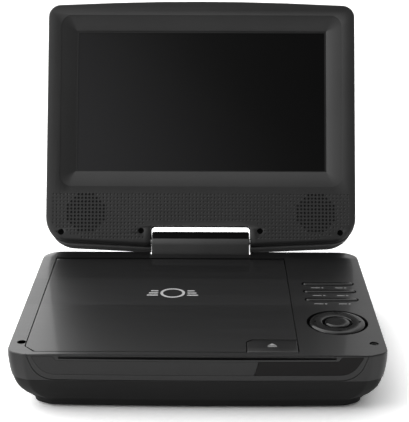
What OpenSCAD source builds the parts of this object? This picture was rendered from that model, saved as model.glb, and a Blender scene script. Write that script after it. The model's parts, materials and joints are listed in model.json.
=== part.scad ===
// Portable disc player: a flat base with a top-loading disc drive, keys at the right,
// and a screen that folds down over the base on a friction hinge at the rear edge.
// The origin is on the table under the middle of the opened player; +Z is up,
// +X is to the user's right and -Y is towards the user.

/* [Base] */
// Width of the base and of the screen housing
body_w = 190; // [186:1:196]
// Depth of the base from its front edge to its rear edge
base_d = 154; // [152:1:158]
// Height of the deck above the table
base_h = 32; // [31:0.5:35]
// Thickness of the moulded walls
wall = 2; // [1.8:0.1:2.2]
// Radius of the base's rear corners in plan
rear_r = 11; // [8:1:14]
// How far the middle of the front edge stands ahead of its ends
front_bow = 1.2; // [0.4:0.2:2]

/* [Screen] */
// Height of the screen housing
screen_h = 153.1; // [150:0.1:156]
// Thickness of the screen housing
screen_t = 15; // [14:0.5:17]
// Lean of the screen behind the vertical in the rest pose
screen_lean = 22.3; // [0:0.1:32]
// Width of the picture area
picture_w = 154.6; // [150:0.1:156]
// Height of the picture area
picture_h = 87.6; // [85:0.1:89]

/* [Hinge] */
// Distance of the hinge axis behind the base's front edge
hinge_y = 155.5; // [155:0.1:157]
// Height of the hinge axis above the deck
hinge_up = 4.8; // [4.6:0.1:5.4]
// Distance of the hinge axis behind the screen's front face
hinge_in = 4; // [3.8:0.1:4.2]
// Radius of the hinge barrel
barrel_r = 6.2; // [5.8:0.1:6.4]
// Length of the hinge barrel
barrel_l = 59.6; // [58:0.2:60]

/* [Disc drive] */
// Disc centre, from the middle of the base
disc_x = -18; // [-19:0.5:-17]
// Disc centre, from the base's front edge
disc_y = 68.5; // [68:0.5:69]
// Radius of the round well for the disc
well_r = 62; // [61:0.5:62.5]
// Radius of the boss that centres the disc
boss_r = 7.4; // [7.3:0.05:7.45]

/* [Keys] */
// Middle of the keys, from the middle of the base
key_x = 73.1; // [72:0.1:74]
// Middle of the direction pad, from the base's front edge
pad_y = 42.6; // [42:0.1:44]
// Outer radius of the direction pad
pad_r = 15.2; // [14.6:0.1:15.6]
// Length of a bar key
bar_l = 29; // [27:0.5:29.5]
// Width of a bar key
bar_w = 4.5; // [4:0.1:4.8]

/* [Sockets] */
// Radius of the two plug sockets for headphones and picture
plug_r = 1.8; // [1.78:0.01:1.85]
// Radius of the charger socket's opening
charge_r = 2.75; // [2.5:0.05:2.8]

/* [Hidden] */
$fn = 64;
eps = 0.01;
gap = 0.4;               // seam between neighbouring mouldings
fit_gap = 0.05;          // radial clearance of a pin in its bore

// Heights of the base's section and how far its walls draw in there
side_levels = [[base_h, 0], [25, 0.25], [17.7, 1.5], [11, 4.4], [5.2, 10]];
end_draw = 0.5;          // the front and rear draw in by this share of the sides
split_z = side_levels[2][0];
lip_z = side_levels[4][0];
floor_z = 1.2;           // underside of the bottom cover, on its feet
deck_under = base_h - wall;
side_chamfer = 9;        // plan chamfer at the two front corners, across
front_chamfer = 5.5;     // and along
rear_bevel = 1.6;        // bevel on the rear edge that clears the screen

// The screen leans back past the base, and the origin is under the middle of both
hinge_z = base_h + hinge_up;
face_y = -hinge_in;
back_y = screen_t - hinge_in;
foot_z = -3.6;
top_z = screen_h + foot_z;
back_step = 3;           // depth at which bezel and rear cover meet
back_taper = 4;          // draw-in of the rear cover at its back
overall_d = hinge_y + back_y * cos(screen_lean) + (top_z - back_taper) * sin(screen_lean);
front_y = -overall_d / 2;

// Notches that the hinge barrel stands in
notch_w = 61.2;
base_notch_y = 146;
base_notch_z = 20;
screen_notch_z = 9.6;

// Front face strip: its raised left end, the right end as its mirror image, and where the
// window begins
trim_deep = 1;
trim_left = [[-76, 21.3], [-84, 31], [-71.5, 31], [-70.2, 28.9]];
trim_right = [for (i = [3 : -1 : 0]) [-trim_left[i][0], trim_left[i][1]]];
trim_split = [[28.2, 21.3], [30.4, 28.9]];

// Disc lid
lid_x = [-86.3, 50.2];
lid_front = 5.2;
nose_r = 2.6;
lid_axis_y = 137;
lid_axis_z = base_h - nose_r;
lid_pin_r = 0.75;
lug_x = [-60, 24];
lug_w = 5;
open_size = [25.5, 14.7];

// Drive
tray_z = 21;
rim_z = deck_under - 1.6;
lid_under = deck_under + 0.2;
table_z = 24.9;
rod_x = 17;
rod_r = 1.5;
rod_z = 16.5;
rod_y = [14, 61];
screw_x = 25;
screw_r = 1.5;
lens_start = 25;
grommet_z = 19.2;
head_h = 1.1;

// Keys
frame_z = 25;
pivot_z = 28.2;
pivot_r = 0.7;
bar_y = [98.2, 86.6, 74.5];
enter_r = 6.6;

// Sockets and controls in the right-hand side
port_z = 22;
mouth_x = body_w / 2 - 1.4;
phone_y = 116;
video_y = 127;
charge_y = 138;
wheel_at = [86.9, 52, 18.6];
wheel_r = 8;
power_y = 28;

// Latch lever under the open key: where it turns, and its outline seen from the front
latch_at = [30, 12, 19];
latch_r = 1;
latch_outline = [[28, 17.2], [32, 17.2], [32, 21.2], [37, 21.7], [37, 22.7], [31, 22.7], [29.4, 21.4],
    [28.8, 27.6], [24.9, 27.6], [24.3, 26.9], [24.3, 26.3], [27.1, 26.3], [27.4, 20]];

// Small screws inside
frame_screws = [for (x = [60, 86], y = [64, 108]) [x, y]];
bracket_screws = [for (s = [-1, 1]) [16 * s, 148.3]];

// Screen details
picture_z = 87.2;
slope_w = 9.5;
slope_d = 2.6;
speaker_x = 70.1;
speaker_z = 16.9;
bezel_screws = [[-85.4, 5.7], [-36.4, 6.6], [36.4, 6.6], [85.4, 5.7]];

base_colour = [0.13, 0.13, 0.14];
trim_colour = [0.2, 0.2, 0.22];
key_colour = [0.16, 0.16, 0.17];
metal_colour = [0.72, 0.72, 0.7];
board_colour = [0.1, 0.35, 0.2];

// ---- shared shapes ----

function arc(x, y, r, from, to, steps) =
    [for (i = [0 : steps]) let (a = from + (to - from) * i / steps) [x + r * cos(a), y + r * sin(a)]];

// Plan of the base, drawn in by side at left and right and by end at front and rear
function base_plan(side, end) =
    let (half = body_w / 2 - side, rear = base_d - end, flat = half - side_chamfer)
    concat(
        arc(half - rear_r, rear - rear_r, rear_r, 0, 90, 8),
        arc(rear_r - half, rear - rear_r, rear_r, 90, 180, 8),
        [[-half, end + front_chamfer]],
        [for (k = [-4 : 4]) [flat * k / 4, end + front_bow * k * k / 16]],
        [[half, end + front_chamfer]]);

// Outline of the screen housing as seen from the front, drawn in all round
function screen_outline(inset) =
    let (half = body_w / 2 - inset, low = foot_z + inset, high = top_z - inset)
    concat(
        arc(half - 6, high - 8, 6, 0, 84, 4),
        [for (k = [3 : -1 : -3]) [(half - 6) * k / 4, high - 2 * k * k / 16]],
        arc(6 - half, high - 8, 6, 96, 180, 4),
        arc(14 - half, low + 16.5, 14, 180, 262, 6),
        [[-notch_w / 2, low], [notch_w / 2, low]],
        arc(half - 14, low + 16.5, 14, 278, 360, 6));

module base_place() translate([0, front_y, 0]) children();

module screen_place() base_place() translate([0, hinge_y, hinge_z]) rotate([-screen_lean, 0, 0]) children();

module box(x, y, z) translate([x[0], y[0], z[0]]) cube([x[1] - x[0], y[1] - y[0], z[1] - z[0]]);

module rod_along_x(r, x, y, z) translate([x[0], y, z]) rotate([0, 90, 0]) cylinder(r = r, h = x[1] - x[0]);

module rod_along_y(r, x, y, z) translate([x, y[1], z]) rotate([90, 0, 0]) cylinder(r = r, h = y[1] - y[0]);

module post(r, x, y, z) translate([x, y, z[0]]) cylinder(r = r, h = z[1] - z[0]);

// A slice of the base between two levels of its section, thinned by skin
module base_slice(upper, lower, skin = 0) {
    hull() {
        translate([0, 0, upper[0] - eps]) linear_extrude(eps)
            polygon(base_plan(upper[1] + skin, upper[1] * end_draw + skin));
        translate([0, 0, lower[0]]) linear_extrude(eps)
            polygon(base_plan(lower[1] + skin, lower[1] * end_draw + skin));
    }
}

module base_prism(side, end, z) translate([0, 0, z[0]]) linear_extrude(z[1] - z[0])
    polygon(base_plan(side, end));

module screen_slab(inset, y) translate([0, y[1], 0]) rotate([90, 0, 0])
    linear_extrude(y[1] - y[0]) polygon(screen_outline(inset));

module pill(length, width, z) {
    for (s = [-1, 1]) translate([s * (length - width) / 2, 0, z[0]]) cylinder(d = width, h = z[1] - z[0]);
    box([-(length - width) / 2, (length - width) / 2], [-width / 2, width / 2], z);
}

module coil(r, wire, z, turns) {
    for (k = [0 : turns - 1]) translate([0, 0, z[0] + wire / 2 + (z[1] - z[0] - wire) * k / (turns - 1)])
        rotate_extrude() translate([r, 0]) circle(d = wire, $fn = 16);
}

// ---- base housing ----

module upper_skin(skin) {
    base_slice(side_levels[0], side_levels[1], skin);
    base_slice(side_levels[1], side_levels[2], skin);
}

// Front face strip, seen from the front, between its left and its right end
module front_outline(left, right) translate([0, 12, 0]) rotate([90, 0, 0]) linear_extrude(16)
    polygon(concat(left, right));

module front_pocket() difference() {
    front_outline(trim_left, trim_right);
    upper_skin(trim_deep);
}

module lid_opening() {
    box([lid_x[0] - gap, lid_x[1] + gap], [lid_front - gap, lid_axis_y + nose_r + gap],
        [deck_under - 1, base_h + 1]);
}

module top_deck() color(base_colour) base_place() difference() {
    upper_skin(0);
    difference() {
        base_slice([deck_under, side_levels[1][1]], [split_z - 1, side_levels[2][1]], wall);
        box([-notch_w / 2 - wall, notch_w / 2 + wall], [base_notch_y - wall, base_d], [0, base_h]);
        for (p = frame_screws) post(2.5, p[0], p[1], [frame_z + 1.2, base_h]);
        for (s = [-1, 1]) post(3, s * 89, 16, [split_z, base_h]);
    }
    front_pocket();
    lid_opening();
    box([-notch_w / 2, notch_w / 2], [base_notch_y, base_d + 1], [base_notch_z, base_h + 1]);
    box([-68.7, 68.7], [-1, 1.8], [30.2, 31.3]);
    post(pad_r + 0.6, key_x, pad_y, [deck_under - 1, base_h + 1]);
    for (y = bar_y) translate([key_x, y, 0]) pill(bar_l + 0.7, bar_w + 0.7, [deck_under - 1, base_h + 1]);
    for (s = [-1, 1]) post(2.1, s * 89, 16, [base_h - 0.9, base_h + 1]);
    for (p = frame_screws) post(1, p[0], p[1], [0, deck_under]);
    for (p = bracket_screws) post(1.2, p[0], p[1], [0, base_h]);
    translate([0, base_d, base_h]) rotate([45, 0, 0])
        cube([body_w + 2, rear_bevel * sqrt(2), rear_bevel * sqrt(2)], center = true);
    side_openings();
}

module side_openings() {
    for (y = [phone_y, video_y]) rod_along_x(3.2, [88, body_w], y, port_z);
    rod_along_x(3.9, [88, body_w], charge_y, port_z);
    box([88, body_w], [wheel_at[1] - 7, wheel_at[1] + 7], [wheel_at[2] - 0.4, wheel_at[2] + 3.2]);
    box([-body_w, -88], [power_y - 2.8, power_y + 6.8], [20.4, 23.8]);
}

module base_posts() {
    for (x = [-76, 76], y = [15, 139]) translate([x, y, 0]) children();
}

module lower_body() color(base_colour) base_place() difference() {
    union() {
        difference() {
            union() {
                base_slice(side_levels[2], side_levels[3]);
                base_slice(side_levels[3], side_levels[4]);
            }
            base_slice([split_z + eps, side_levels[2][1]], side_levels[3], wall);
            base_slice([side_levels[3][0] + eps, side_levels[3][1]], [lip_z + 1.6, side_levels[4][1]], wall);
            base_prism(16, 11, [0, lip_z + 2]);
        }
        base_posts() {
            cylinder(r = 3, h = 9.5 + lip_z);
        }
        base_posts() {
            translate([0, 0, lip_z]) cylinder(r = 5.6, h = 1.6);
        }
    }
    box([-100, 100], [0, 200], [0, lip_z]);
    base_posts() {
        cylinder(r = 1.4, h = 12);
    }
}

module bottom_cover() color(base_colour) base_place() difference() {
    union() {
        difference() {
            base_prism(11.6, 6.6, [floor_z, lip_z]);
            base_prism(13.4, 8.4, [floor_z + 1.8, lip_z + 1]);
        }
        for (x = [-66, 66], y = [80, 134]) post(2.5, x, y, [floor_z + 1, 7]);
        base_posts() {
            translate([0, 0, floor_z]) cylinder(r = 4.4, h = lip_z - floor_z);
        }
    }
    base_posts() {
        cylinder(r = 1.6, h = 12);
    }
    base_posts() {
        cylinder(r = 2.9, h = floor_z + 1.5);
    }
    box([-56, 20], [20, 72], [0, 4]);
    for (k = [0 : 7]) box([36 + 4 * k, 38 + 4 * k], [40, 62], [0, 4]);
}

module battery_door() color(base_colour) base_place() {
    box([-55.7, 19.7], [20.3, 71.7], [floor_z, floor_z + 1.8]);
}

module rubber_feet() color("dimgray") base_place() {
    for (x = [-66, 66], y = [20, 134]) post(5, x, y, [0, floor_z]);
}

module base_screws() color(metal_colour) base_place() base_posts() {
    translate([0, 0, floor_z + 0.3]) cylinder(r = 2.6, h = 1.2);
    translate([0, 0, floor_z + 1.5]) cylinder(r = 1.4, h = 8.5);
}

module deck_screws() color("dimgray") base_place() {
    for (s = [-1, 1]) post(1.95, s * 89, 16, [base_h - 0.9, base_h - 0.1]);
}

module front_part(left, right) intersection() {
    upper_skin(0);
    difference() {
        front_outline(left, right);
        upper_skin(trim_deep);
    }
}

module front_trim() color(trim_colour) base_place() front_part(trim_left, [trim_split[1], trim_split[0]]);

module ir_window() color([0.12, 0.05, 0.06]) base_place() front_part(trim_split, trim_right);

module ir_board() color(board_colour) base_place() {
    box([47, 78], [7.2, 8.4], [20.5, 29]);
}

module ir_parts() color("black") base_place() {
    box([58, 64], [4.4, 7.2], [21.5, 27.5]);
    for (x = [50, 54]) rod_along_y(1.2, x, [4.2, 7.2], 25);
}

// ---- disc drive ----

module disc_tray() color(base_colour) base_place() difference() {
    union() {
        translate([0, 0, rim_z]) linear_extrude(deck_under - rim_z)
            polygon([[-88, 9.2], [-81, 4], [52, 4], [52, 133.6], [-88, 133.6]]);
        post(well_r + 1.5, disc_x, disc_y, [tray_z, rim_z + 1.6]);
    }
    post(well_r, disc_x, disc_y, [tray_z + 1.5, base_h]);
    post(16, disc_x, disc_y, [0, base_h]);
    post(3.3, -89, 16, [0, base_h]);
    box([disc_x - 9, disc_x + 9], [disc_y + 10, disc_y + 60], [0, base_h]);
    box([20.5, 60], [0, 20.4], [0, base_h]);
    chassis_corners(0) {
        cylinder(r = 1.2, h = tray_z + 1);
    }
}

module chassis_corners(z) {
    for (s = [-1, 1], y = [-20.4, 53.6]) translate([disc_x + s * 27, disc_y + y, z]) children();
}

module loader_chassis() color(metal_colour) base_place() difference() {
    union() {
        box([disc_x - 32, disc_x + 32], [disc_y - 26, disc_y + 64], [19.4, 20.6]);
        for (s = [-1, 1], y = rod_y)
            translate([disc_x + s * rod_x, disc_y + y, 0]) box([-3, 3], [-1.5, 1.5], [14, 19.4]);
    }
    post(12.5, disc_x, disc_y, [0, base_h]);
    box([disc_x - 10.5, disc_x + 10.5], [disc_y + 10, disc_y + 59], [19, 21]);
    for (s = [-1, 1]) rod_along_y(rod_r, disc_x + s * rod_x, [disc_y + rod_y[0] - 2, disc_y + rod_y[1] + 2], rod_z);
    chassis_corners(19) {
        cylinder(r = 3, h = 2);
    }
}

module chassis_grommets() color("dimgray") base_place() chassis_corners(grommet_z) {
    difference() {
        cylinder(r = 3, h = tray_z - grommet_z);
        translate([0, 0, -1]) cylinder(r = 1.2, h = 5);
    }
}

module screw(shank, head, z, head_below) {
    translate([0, 0, z[0]]) cylinder(r = shank, h = z[1] - z[0]);
    translate([0, 0, head_below ? z[0] : z[1]]) cylinder(r = head, h = head_h);
}

// Screws of the drive's frame, of the key frame and of the hinge bracket
module inner_screws() color(metal_colour) base_place() {
    chassis_corners(0) {
        screw(1.2, 2.4, [grommet_z - head_h, tray_z + 1], true);
    }
    for (p = frame_screws) translate([p[0], p[1], 0]) screw(1, 1.8, [20.9, frame_z + 4], true);
    for (p = bracket_screws) translate([p[0], p[1], 0]) screw(1.2, 2, [split_z, base_notch_z + 1.4], false);
}

module spindle_motor() color(metal_colour) base_place() difference() {
    union() {
        post(11.5, disc_x, disc_y, [12.6, 20.4]);
        post(14, disc_x, disc_y, [18.4, 19.4]);
        post(3, disc_x, disc_y, [20.4, 22]);
    }
    post(1 + fit_gap, disc_x, disc_y, [13.4, 23]);
}

module turntable_hub() color("dimgray") base_place() {
    post(1, disc_x, disc_y, [13.6, table_z]);
    post(14.5, disc_x, disc_y, [table_z - 1.7, table_z]);
    post(boss_r, disc_x, disc_y, [table_z, table_z + 2.6]);
    translate([disc_x, disc_y, table_z + 2.6]) cylinder(r1 = boss_r, r2 = boss_r - 1, h = 0.8);
}

module guide_rods() color("silver") base_place() {
    for (s = [-1, 1]) rod_along_y(rod_r, disc_x + s * rod_x, [disc_y + rod_y[0] - 1.5, disc_y + rod_y[1] + 1.5], rod_z);
}

module pickup_sled() color([0.2, 0.2, 0.22]) base_place() difference() {
    union() {
        box([disc_x - 13, disc_x + 13], [disc_y + lens_start - 7, disc_y + lens_start + 7], [13.2, 18.8]);
        for (s = [-1, 1])
            rod_along_y(2.6, disc_x + s * rod_x, [disc_y + lens_start - 7, disc_y + lens_start + 7], rod_z);
        box([disc_x - rod_x, disc_x + rod_x], [disc_y + lens_start - 5, disc_y + lens_start + 5], [15, 18]);
        box([disc_x + rod_x, disc_x + screw_x + 3], [disc_y + lens_start - 2, disc_y + lens_start + 2],
            [13.6, rod_z + screw_r]);
    }
    for (s = [-1, 1])
        rod_along_y(rod_r + fit_gap, disc_x + s * rod_x, [disc_y, disc_y + 60], rod_z);
    rod_along_y(screw_r + 0.1, disc_x + screw_x, [disc_y, disc_y + 60], rod_z);
}

module pickup_lens() color("lightsteelblue") base_place() {
    post(5.5, disc_x, disc_y + lens_start, [18.8, 20.8]);
    post(2.4, disc_x, disc_y + lens_start, [20.8, 22.6]);
}

module lead_screw() color("silver") base_place() {
    rod_along_y(screw_r, disc_x + screw_x, [disc_y + rod_y[0], disc_y + rod_y[1] - 1], rod_z);
}

module sled_motor() color(metal_colour) base_place() difference() {
    union() {
        rod_along_y(4, disc_x + screw_x, [disc_y + rod_y[1] - 3, disc_y + rod_y[1] + 7], rod_z - 1.1);
        rod_along_y(3.2, disc_x + screw_x, [disc_y + rod_y[0] - 1.5, disc_y + rod_y[0] + 1.5], rod_z - 0.3);
    }
    rod_along_y(screw_r + fit_gap, disc_x + screw_x, [disc_y + rod_y[0] - 0.2, disc_y + rod_y[1] - 0.8], rod_z);
}

// ---- disc lid ----

module lid_plan() polygon([[lid_x[0], lid_front + 6], [lid_x[0] + 5, lid_front],
    [lid_x[1] - open_size[0] - gap, lid_front], [lid_x[1] - open_size[0] - gap, lid_front + open_size[1] - 3],
    [lid_x[1] - open_size[0] + 3 - gap, lid_front + open_size[1] + gap],
    [lid_x[1], lid_front + open_size[1] + gap], [lid_x[1], lid_axis_y], [lid_x[0], lid_axis_y]]);

module disc_lid() color(base_colour) base_place() difference() {
    union() {
        translate([0, 0, lid_under]) linear_extrude(base_h - lid_under) lid_plan();
        rod_along_x(nose_r, lid_x, lid_axis_y, lid_axis_z);
        box(lid_x, [lid_axis_y - nose_r, lid_axis_y], [lid_axis_z, lid_under]);
    }
    for (x = lug_x) {
        rod_along_x(1.7, [x - lug_w / 2 - 0.5, x + lug_w / 2 + 5], lid_axis_y, lid_axis_z);
        translate([x, lid_axis_y, lid_axis_z]) {
            box([-lug_w / 2 - 0.5, lug_w / 2 + 0.5], [-1.7, 4], [-4, -0.1]);
            box([-lug_w / 2 - 0.5, lug_w / 2 + 0.5], [0, 4], [-1, 1.2]);
        }
        rod_along_x(lid_pin_r, [x - 7, x + 11], lid_axis_y, lid_axis_z);
    }
}

module lid_liner() color("dimgray") base_place() {
    difference() {
        post(57, disc_x, disc_y - 2, [lid_under - 0.8, lid_under]);
        post(20, disc_x, disc_y, [0, base_h]);
    }
    box([21.8, 23], [latch_at[1] - 2.2, latch_at[1] + 2.2], [25, lid_under]);
    box([21.8, 24], [latch_at[1] - 2.2, latch_at[1] + 2.2], [25, 26]);
}

module lid_pins() color("silver") base_place() {
    for (x = lug_x) rod_along_x(lid_pin_r, [x - 7, x + 11], lid_axis_y, lid_axis_z);
}

module lid_lugs() color("dimgray") base_place() difference() {
    for (x = lug_x) {
        rod_along_x(1.35, [x - lug_w / 2, x + lug_w / 2], lid_axis_y, lid_axis_z);
        box([x - lug_w / 2, x + lug_w / 2], [lid_axis_y - 1.35, lid_axis_y + 1.35], [26, lid_axis_z]);
        box([x - 4, x + 4], [lid_axis_y - 3, lid_axis_y + 6.8], [24, 26]);
        box([x - 4, x + 4], [lid_axis_y + 4.6, lid_axis_y + 6.8], [24, deck_under]);
    }
    for (x = lug_x) rod_along_x(lid_pin_r + fit_gap, [x - 5, x + 5], lid_axis_y, lid_axis_z);
}

module lid_spring() color("silver") base_place() translate([lug_x[1] + lug_w / 2, lid_axis_y, lid_axis_z])
    rotate([0, 90, 0]) coil(1.25, 0.4, [0.4, 4.6], 8);

module open_key() color(key_colour) base_place() {
    difference() {
        box([lid_x[1] - open_size[0], lid_x[1]], [lid_front, lid_front + open_size[1]], [30.4, base_h]);
        translate([lid_x[1] - open_size[0], lid_front + open_size[1], 29]) rotate([0, 0, 45])
            cube([4, 4, 8], center = true);
    }
    box([36, 42], [9, 15], [23, 30.4]);
}

// Sleeve for the open key's stem, with the two ears that the latch lever turns in
module open_key_guide() color("dimgray") base_place() difference() {
    union() {
        box([35, 45], [7, 17], [14, 27.6]);
        box([27, 45], [8, 17], [6.9, 14]);
        box([27, 45], [11.8, 17], [floor_z + 1.8, 6.9]);
        for (y = [7, 15]) box([28, 32], [y, y + 2], [14, 21]);
    }
    box([35.8, 42.2], [8.8, 15.2], [14, 30]);
    box([34, 37], [9, 15], [19, 24]);
    rod_along_y(latch_r + fit_gap, latch_at[0], [6, 18], latch_at[2]);
}

module open_key_spring() color("silver") base_place() translate([40, latch_at[1], 14])
    coil(1.8, 0.5, [0, 9], 8);

module lid_latch() color(trim_colour) base_place() {
    translate([0, latch_at[1] + 2.2, 0]) rotate([90, 0, 0]) linear_extrude(4.4) polygon(latch_outline);
    rod_along_y(2.2, latch_at[0], [latch_at[1] - 2.6, latch_at[1] + 2.6], latch_at[2]);
    rod_along_y(latch_r, latch_at[0], [7.2, 16.8], latch_at[2]);
}

// ---- keys ----

module key_frame() color("dimgray") base_place() difference() {
    union() {
        box([56, 90], [24, 111], [frame_z, frame_z + 1.2]);
        for (s = [-1, 1]) box([key_x + s * 12 - 0.8, key_x + s * 12 + 0.8], [pad_y - 1.6, pad_y + 1.6],
            [frame_z + 1, pivot_z + 1.4]);
        for (y = bar_y, s = [-1, 1]) box([key_x - 1.6, key_x + 1.6], [y + s * 2.9 - 0.7, y + s * 2.9 + 0.7],
            [frame_z + 1, pivot_z + 1.4]);
    }
    rod_along_x(pivot_r + fit_gap, [key_x - 14, key_x + 14], pad_y, pivot_z);
    for (y = bar_y) rod_along_y(pivot_r + fit_gap, key_x, [y - 4, y + 4], pivot_z);
    post(2.5 + fit_gap, key_x, pad_y, [0, base_h]);
    for (sx = [-1, 1], sy = [-1, 1]) post(2.2, key_x + sx * 8.8, pad_y + sy * 8.8, [0, frame_z + 1.3]);
    for (y = bar_y, s = [-1, 1]) post(2.2, key_x + s * 10, y, [0, frame_z + 1.3]);
    for (p = frame_screws) post(1, p[0], p[1], [0, base_h]);
}

module key_board() color(board_colour) base_place() difference() {
    box([56, 89], [24, 111], [22, 23.2]);
    for (p = frame_screws) post(1, p[0], p[1], [0, base_h]);
}

module key_mat() color([0.75, 0.75, 0.72]) base_place() {
    box([57, 88], [26, 60], [23.2, 23.8]);
    box([57, 88], [69, 103], [23.2, 23.8]);
    post(3.2, key_x, pad_y, [23.8, 24.5]);
    for (sx = [-1, 1], sy = [-1, 1]) post(1.8, key_x + sx * 8.8, pad_y + sy * 8.8, [23.8, 24.5]);
    for (y = bar_y, s = [-1, 1]) post(1.8, key_x + s * 10, y, [23.8, 24.3]);
}

module nav_pivot() color("silver") base_place() difference() {
    union() {
        post(10.4, key_x, pad_y, [pivot_z - 0.8, pivot_z + 0.8]);
        rod_along_x(pivot_r, [key_x - 12.8, key_x + 12.8], pad_y, pivot_z);
        rod_along_y(pivot_r, key_x, [pad_y - 12.8, pad_y + 12.8], pivot_z);
    }
    post(9, key_x, pad_y, [0, base_h]);
}

module nav_ring() color(key_colour) base_place() difference() {
    union() {
        post(pad_r, key_x, pad_y, [30.2, 31.9]);
        translate([key_x, pad_y, 31.9]) cylinder(r1 = pad_r, r2 = pad_r - 1.6, h = 0.7);
        for (s = [-1, 1]) box([key_x - 1.6, key_x + 1.6], [pad_y + s * 12 - 0.8, pad_y + s * 12 + 0.8],
            [pivot_z - 1.2, 30.2]);
        for (sx = [-1, 1], sy = [-1, 1]) post(1.2, key_x + sx * 8.8, pad_y + sy * 8.8, [25.6, 30.2]);
    }
    post(7.4, key_x, pad_y, [30, base_h + 1]);
    rod_along_y(pivot_r + fit_gap, key_x, [pad_y - 14, pad_y + 14], pivot_z);
}

module enter_key() color(key_colour) base_place() {
    post(2.5, key_x, pad_y, [25, 28.8]);
    post(7.7, key_x, pad_y, [28.8, 29.5]);
    post(enter_r, key_x, pad_y, [29.5, 32.3]);
    translate([key_x, pad_y, 32.3]) cylinder(r1 = enter_r, r2 = enter_r - 1.2, h = 0.4);
}

module bar_key(y) color(key_colour) base_place() translate([key_x, y, 0]) {
    pill(bar_l, bar_w, [30.3, 32.6]);
    box([-1.4, 1.4], [-1.9, 1.9], [pivot_z - 1.1, 30.3]);
    rod_along_y(pivot_r, 0, [-3.5, 3.5], pivot_z);
    for (s = [-1, 1]) post(1.2, s * 10, 0, [25, 30.3]);
}

module bar_key_1() bar_key(bar_y[0]);

module bar_key_2() bar_key(bar_y[1]);

module bar_key_3() bar_key(bar_y[2]);

// ---- electronics and sockets ----

module main_board() color(board_colour) base_place() difference() {
    box([-72, 72], [76, 136], [7, 8.4]);
    for (x = [-66, 66], y = [80, 134]) post(1.2, x, y, [0, base_h]);
}

module main_chips() color("black") base_place() {
    box([-40, -22], [96, 114], [8.4, 10]);
    box([0, 10], [96, 114], [8.4, 9.6]);
    box([20, 34], [88, 96], [8.4, 10]);
    for (k = [0 : 3]) post(2.6, 48 + 6 * k, 128, [8.4, 11.5]);
    for (k = [0 : 2]) post(3.2, -62, 92 + 8 * k, [8.4, 11.4]);
    box([40, 60], [84, 90], [8.4, 11]);
}

module battery_pack() color("steelblue") base_place() {
    box([-54, -18.3], [22, 70], [floor_z + 2, floor_z + 8.4]);
    box([-17.7, 18], [22, 70], [floor_z + 2, floor_z + 8.4]);
    box([-18.3, -17.7], [30, 62], [floor_z + 3, floor_z + 7]);
}

module plug_jack(y) color("black") base_place() difference() {
    union() {
        box([78, 91], [y - 3.5, y + 3.5], [port_z - 3.2, port_z + 3.2]);
        rod_along_x(3, [91, mouth_x], y, port_z);
    }
    rod_along_x(plug_r, [mouth_x - 14, mouth_x + 1], y, port_z);
}

module phone_jack() plug_jack(phone_y);

module video_jack() plug_jack(video_y);

module charge_jack() color("black") base_place() {
    difference() {
        union() {
            box([79, 91], [charge_y - 4, charge_y + 4], [port_z - 3.8, port_z + 3.8]);
            rod_along_x(3.6, [91, mouth_x], charge_y, port_z);
        }
        rod_along_x(charge_r, [mouth_x - 10, mouth_x + 1], charge_y, port_z);
    }
    rod_along_x(0.85, [mouth_x - 11, mouth_x - 1.5], charge_y, port_z);
}

module volume_pot() color("dimgray") base_place() {
    box([wheel_at[0] - 6.9, wheel_at[0] + 0.6], [wheel_at[1] - 5, wheel_at[1] + 5], [13, wheel_at[2] - 0.3]);
    post(2.4, wheel_at[0], wheel_at[1], [16, wheel_at[2] - 0.3]);
    post(1.2, wheel_at[0], wheel_at[1], [wheel_at[2] - 0.3, wheel_at[2] + 3]);
}

module volume_wheel() color("black") base_place() difference() {
    post(wheel_r, wheel_at[0], wheel_at[1], [wheel_at[2], wheel_at[2] + 2.8]);
    post(1.2 + fit_gap, wheel_at[0], wheel_at[1], [wheel_at[2] - 1, wheel_at[2] + 4]);
    for (k = [0 : 29]) translate([wheel_at[0], wheel_at[1], wheel_at[2] - 1]) rotate([0, 0, 12 * k])
        translate([wheel_r + 0.2, 0, 0]) cylinder(r = 0.5, h = 5, $fn = 16);
}

module power_switch() color("dimgray") base_place() {
    box([-87.4, -83], [power_y - 5, power_y + 9], [19.5, 24.7]);
}

module power_knob() color("black") base_place() {
    box([-90.8, -87.6], [power_y - 3, power_y + 3], [20.2, 24]);
    box([-94.9, -90.8], [power_y - 2.4, power_y + 2.4], [20.8, 23.4]);
}

// ---- hinge ----

module hinge_bracket() color(metal_colour) base_place() difference() {
    union() {
        box([-26, 26], [hinge_y - 4.5, hinge_y + 4.5], [base_notch_z + 0.2, base_notch_z + 2]);
        box([-26, 26], [base_notch_y + 0.3, hinge_y - 4.5], [base_notch_z, base_notch_z + 1.4]);
        for (s = [-1, 1]) {
            box([s * 23.2 - 1.2, s * 23.2 + 1.2], [hinge_y - 4.4, hinge_y + 4.4], [base_notch_z + 1, hinge_z]);
            rod_along_x(4.4, [s * 23.2 - 1.2, s * 23.2 + 1.2], hinge_y, hinge_z);
        }
    }
    rod_along_x(1.8 + fit_gap, [-30, 30], hinge_y, hinge_z);
    for (p = bracket_screws) post(1.2, p[0], p[1], [0, base_h]);
}

module hinge_cover() color(base_colour) base_place() difference() {
    union() {
        rod_along_x(barrel_r, [-barrel_l / 2, barrel_l / 2], hinge_y, hinge_z);
        box([-barrel_l / 2, barrel_l / 2], [hinge_y - barrel_r, hinge_y + barrel_r], [base_notch_z - 6, hinge_z]);
    }
    rod_along_x(barrel_r - 1.5, [-barrel_l / 2 + 1.5, barrel_l / 2 - 1.5], hinge_y, hinge_z);
    box([-barrel_l / 2 + 1.5, barrel_l / 2 - 1.5], [hinge_y - barrel_r + 1.5, hinge_y + barrel_r - 1.5],
        [base_notch_z - 4.5, hinge_z]);
    rod_along_x(2.1, [-body_w, body_w], hinge_y, hinge_z);
    box([-40, 40], [hinge_y - barrel_r - 1, hinge_y - barrel_r + 2], [0, base_notch_z + 2.8]);
    box([-40, 40], [hinge_y - barrel_r - 1, base_d], [0, base_notch_z]);
}

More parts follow.
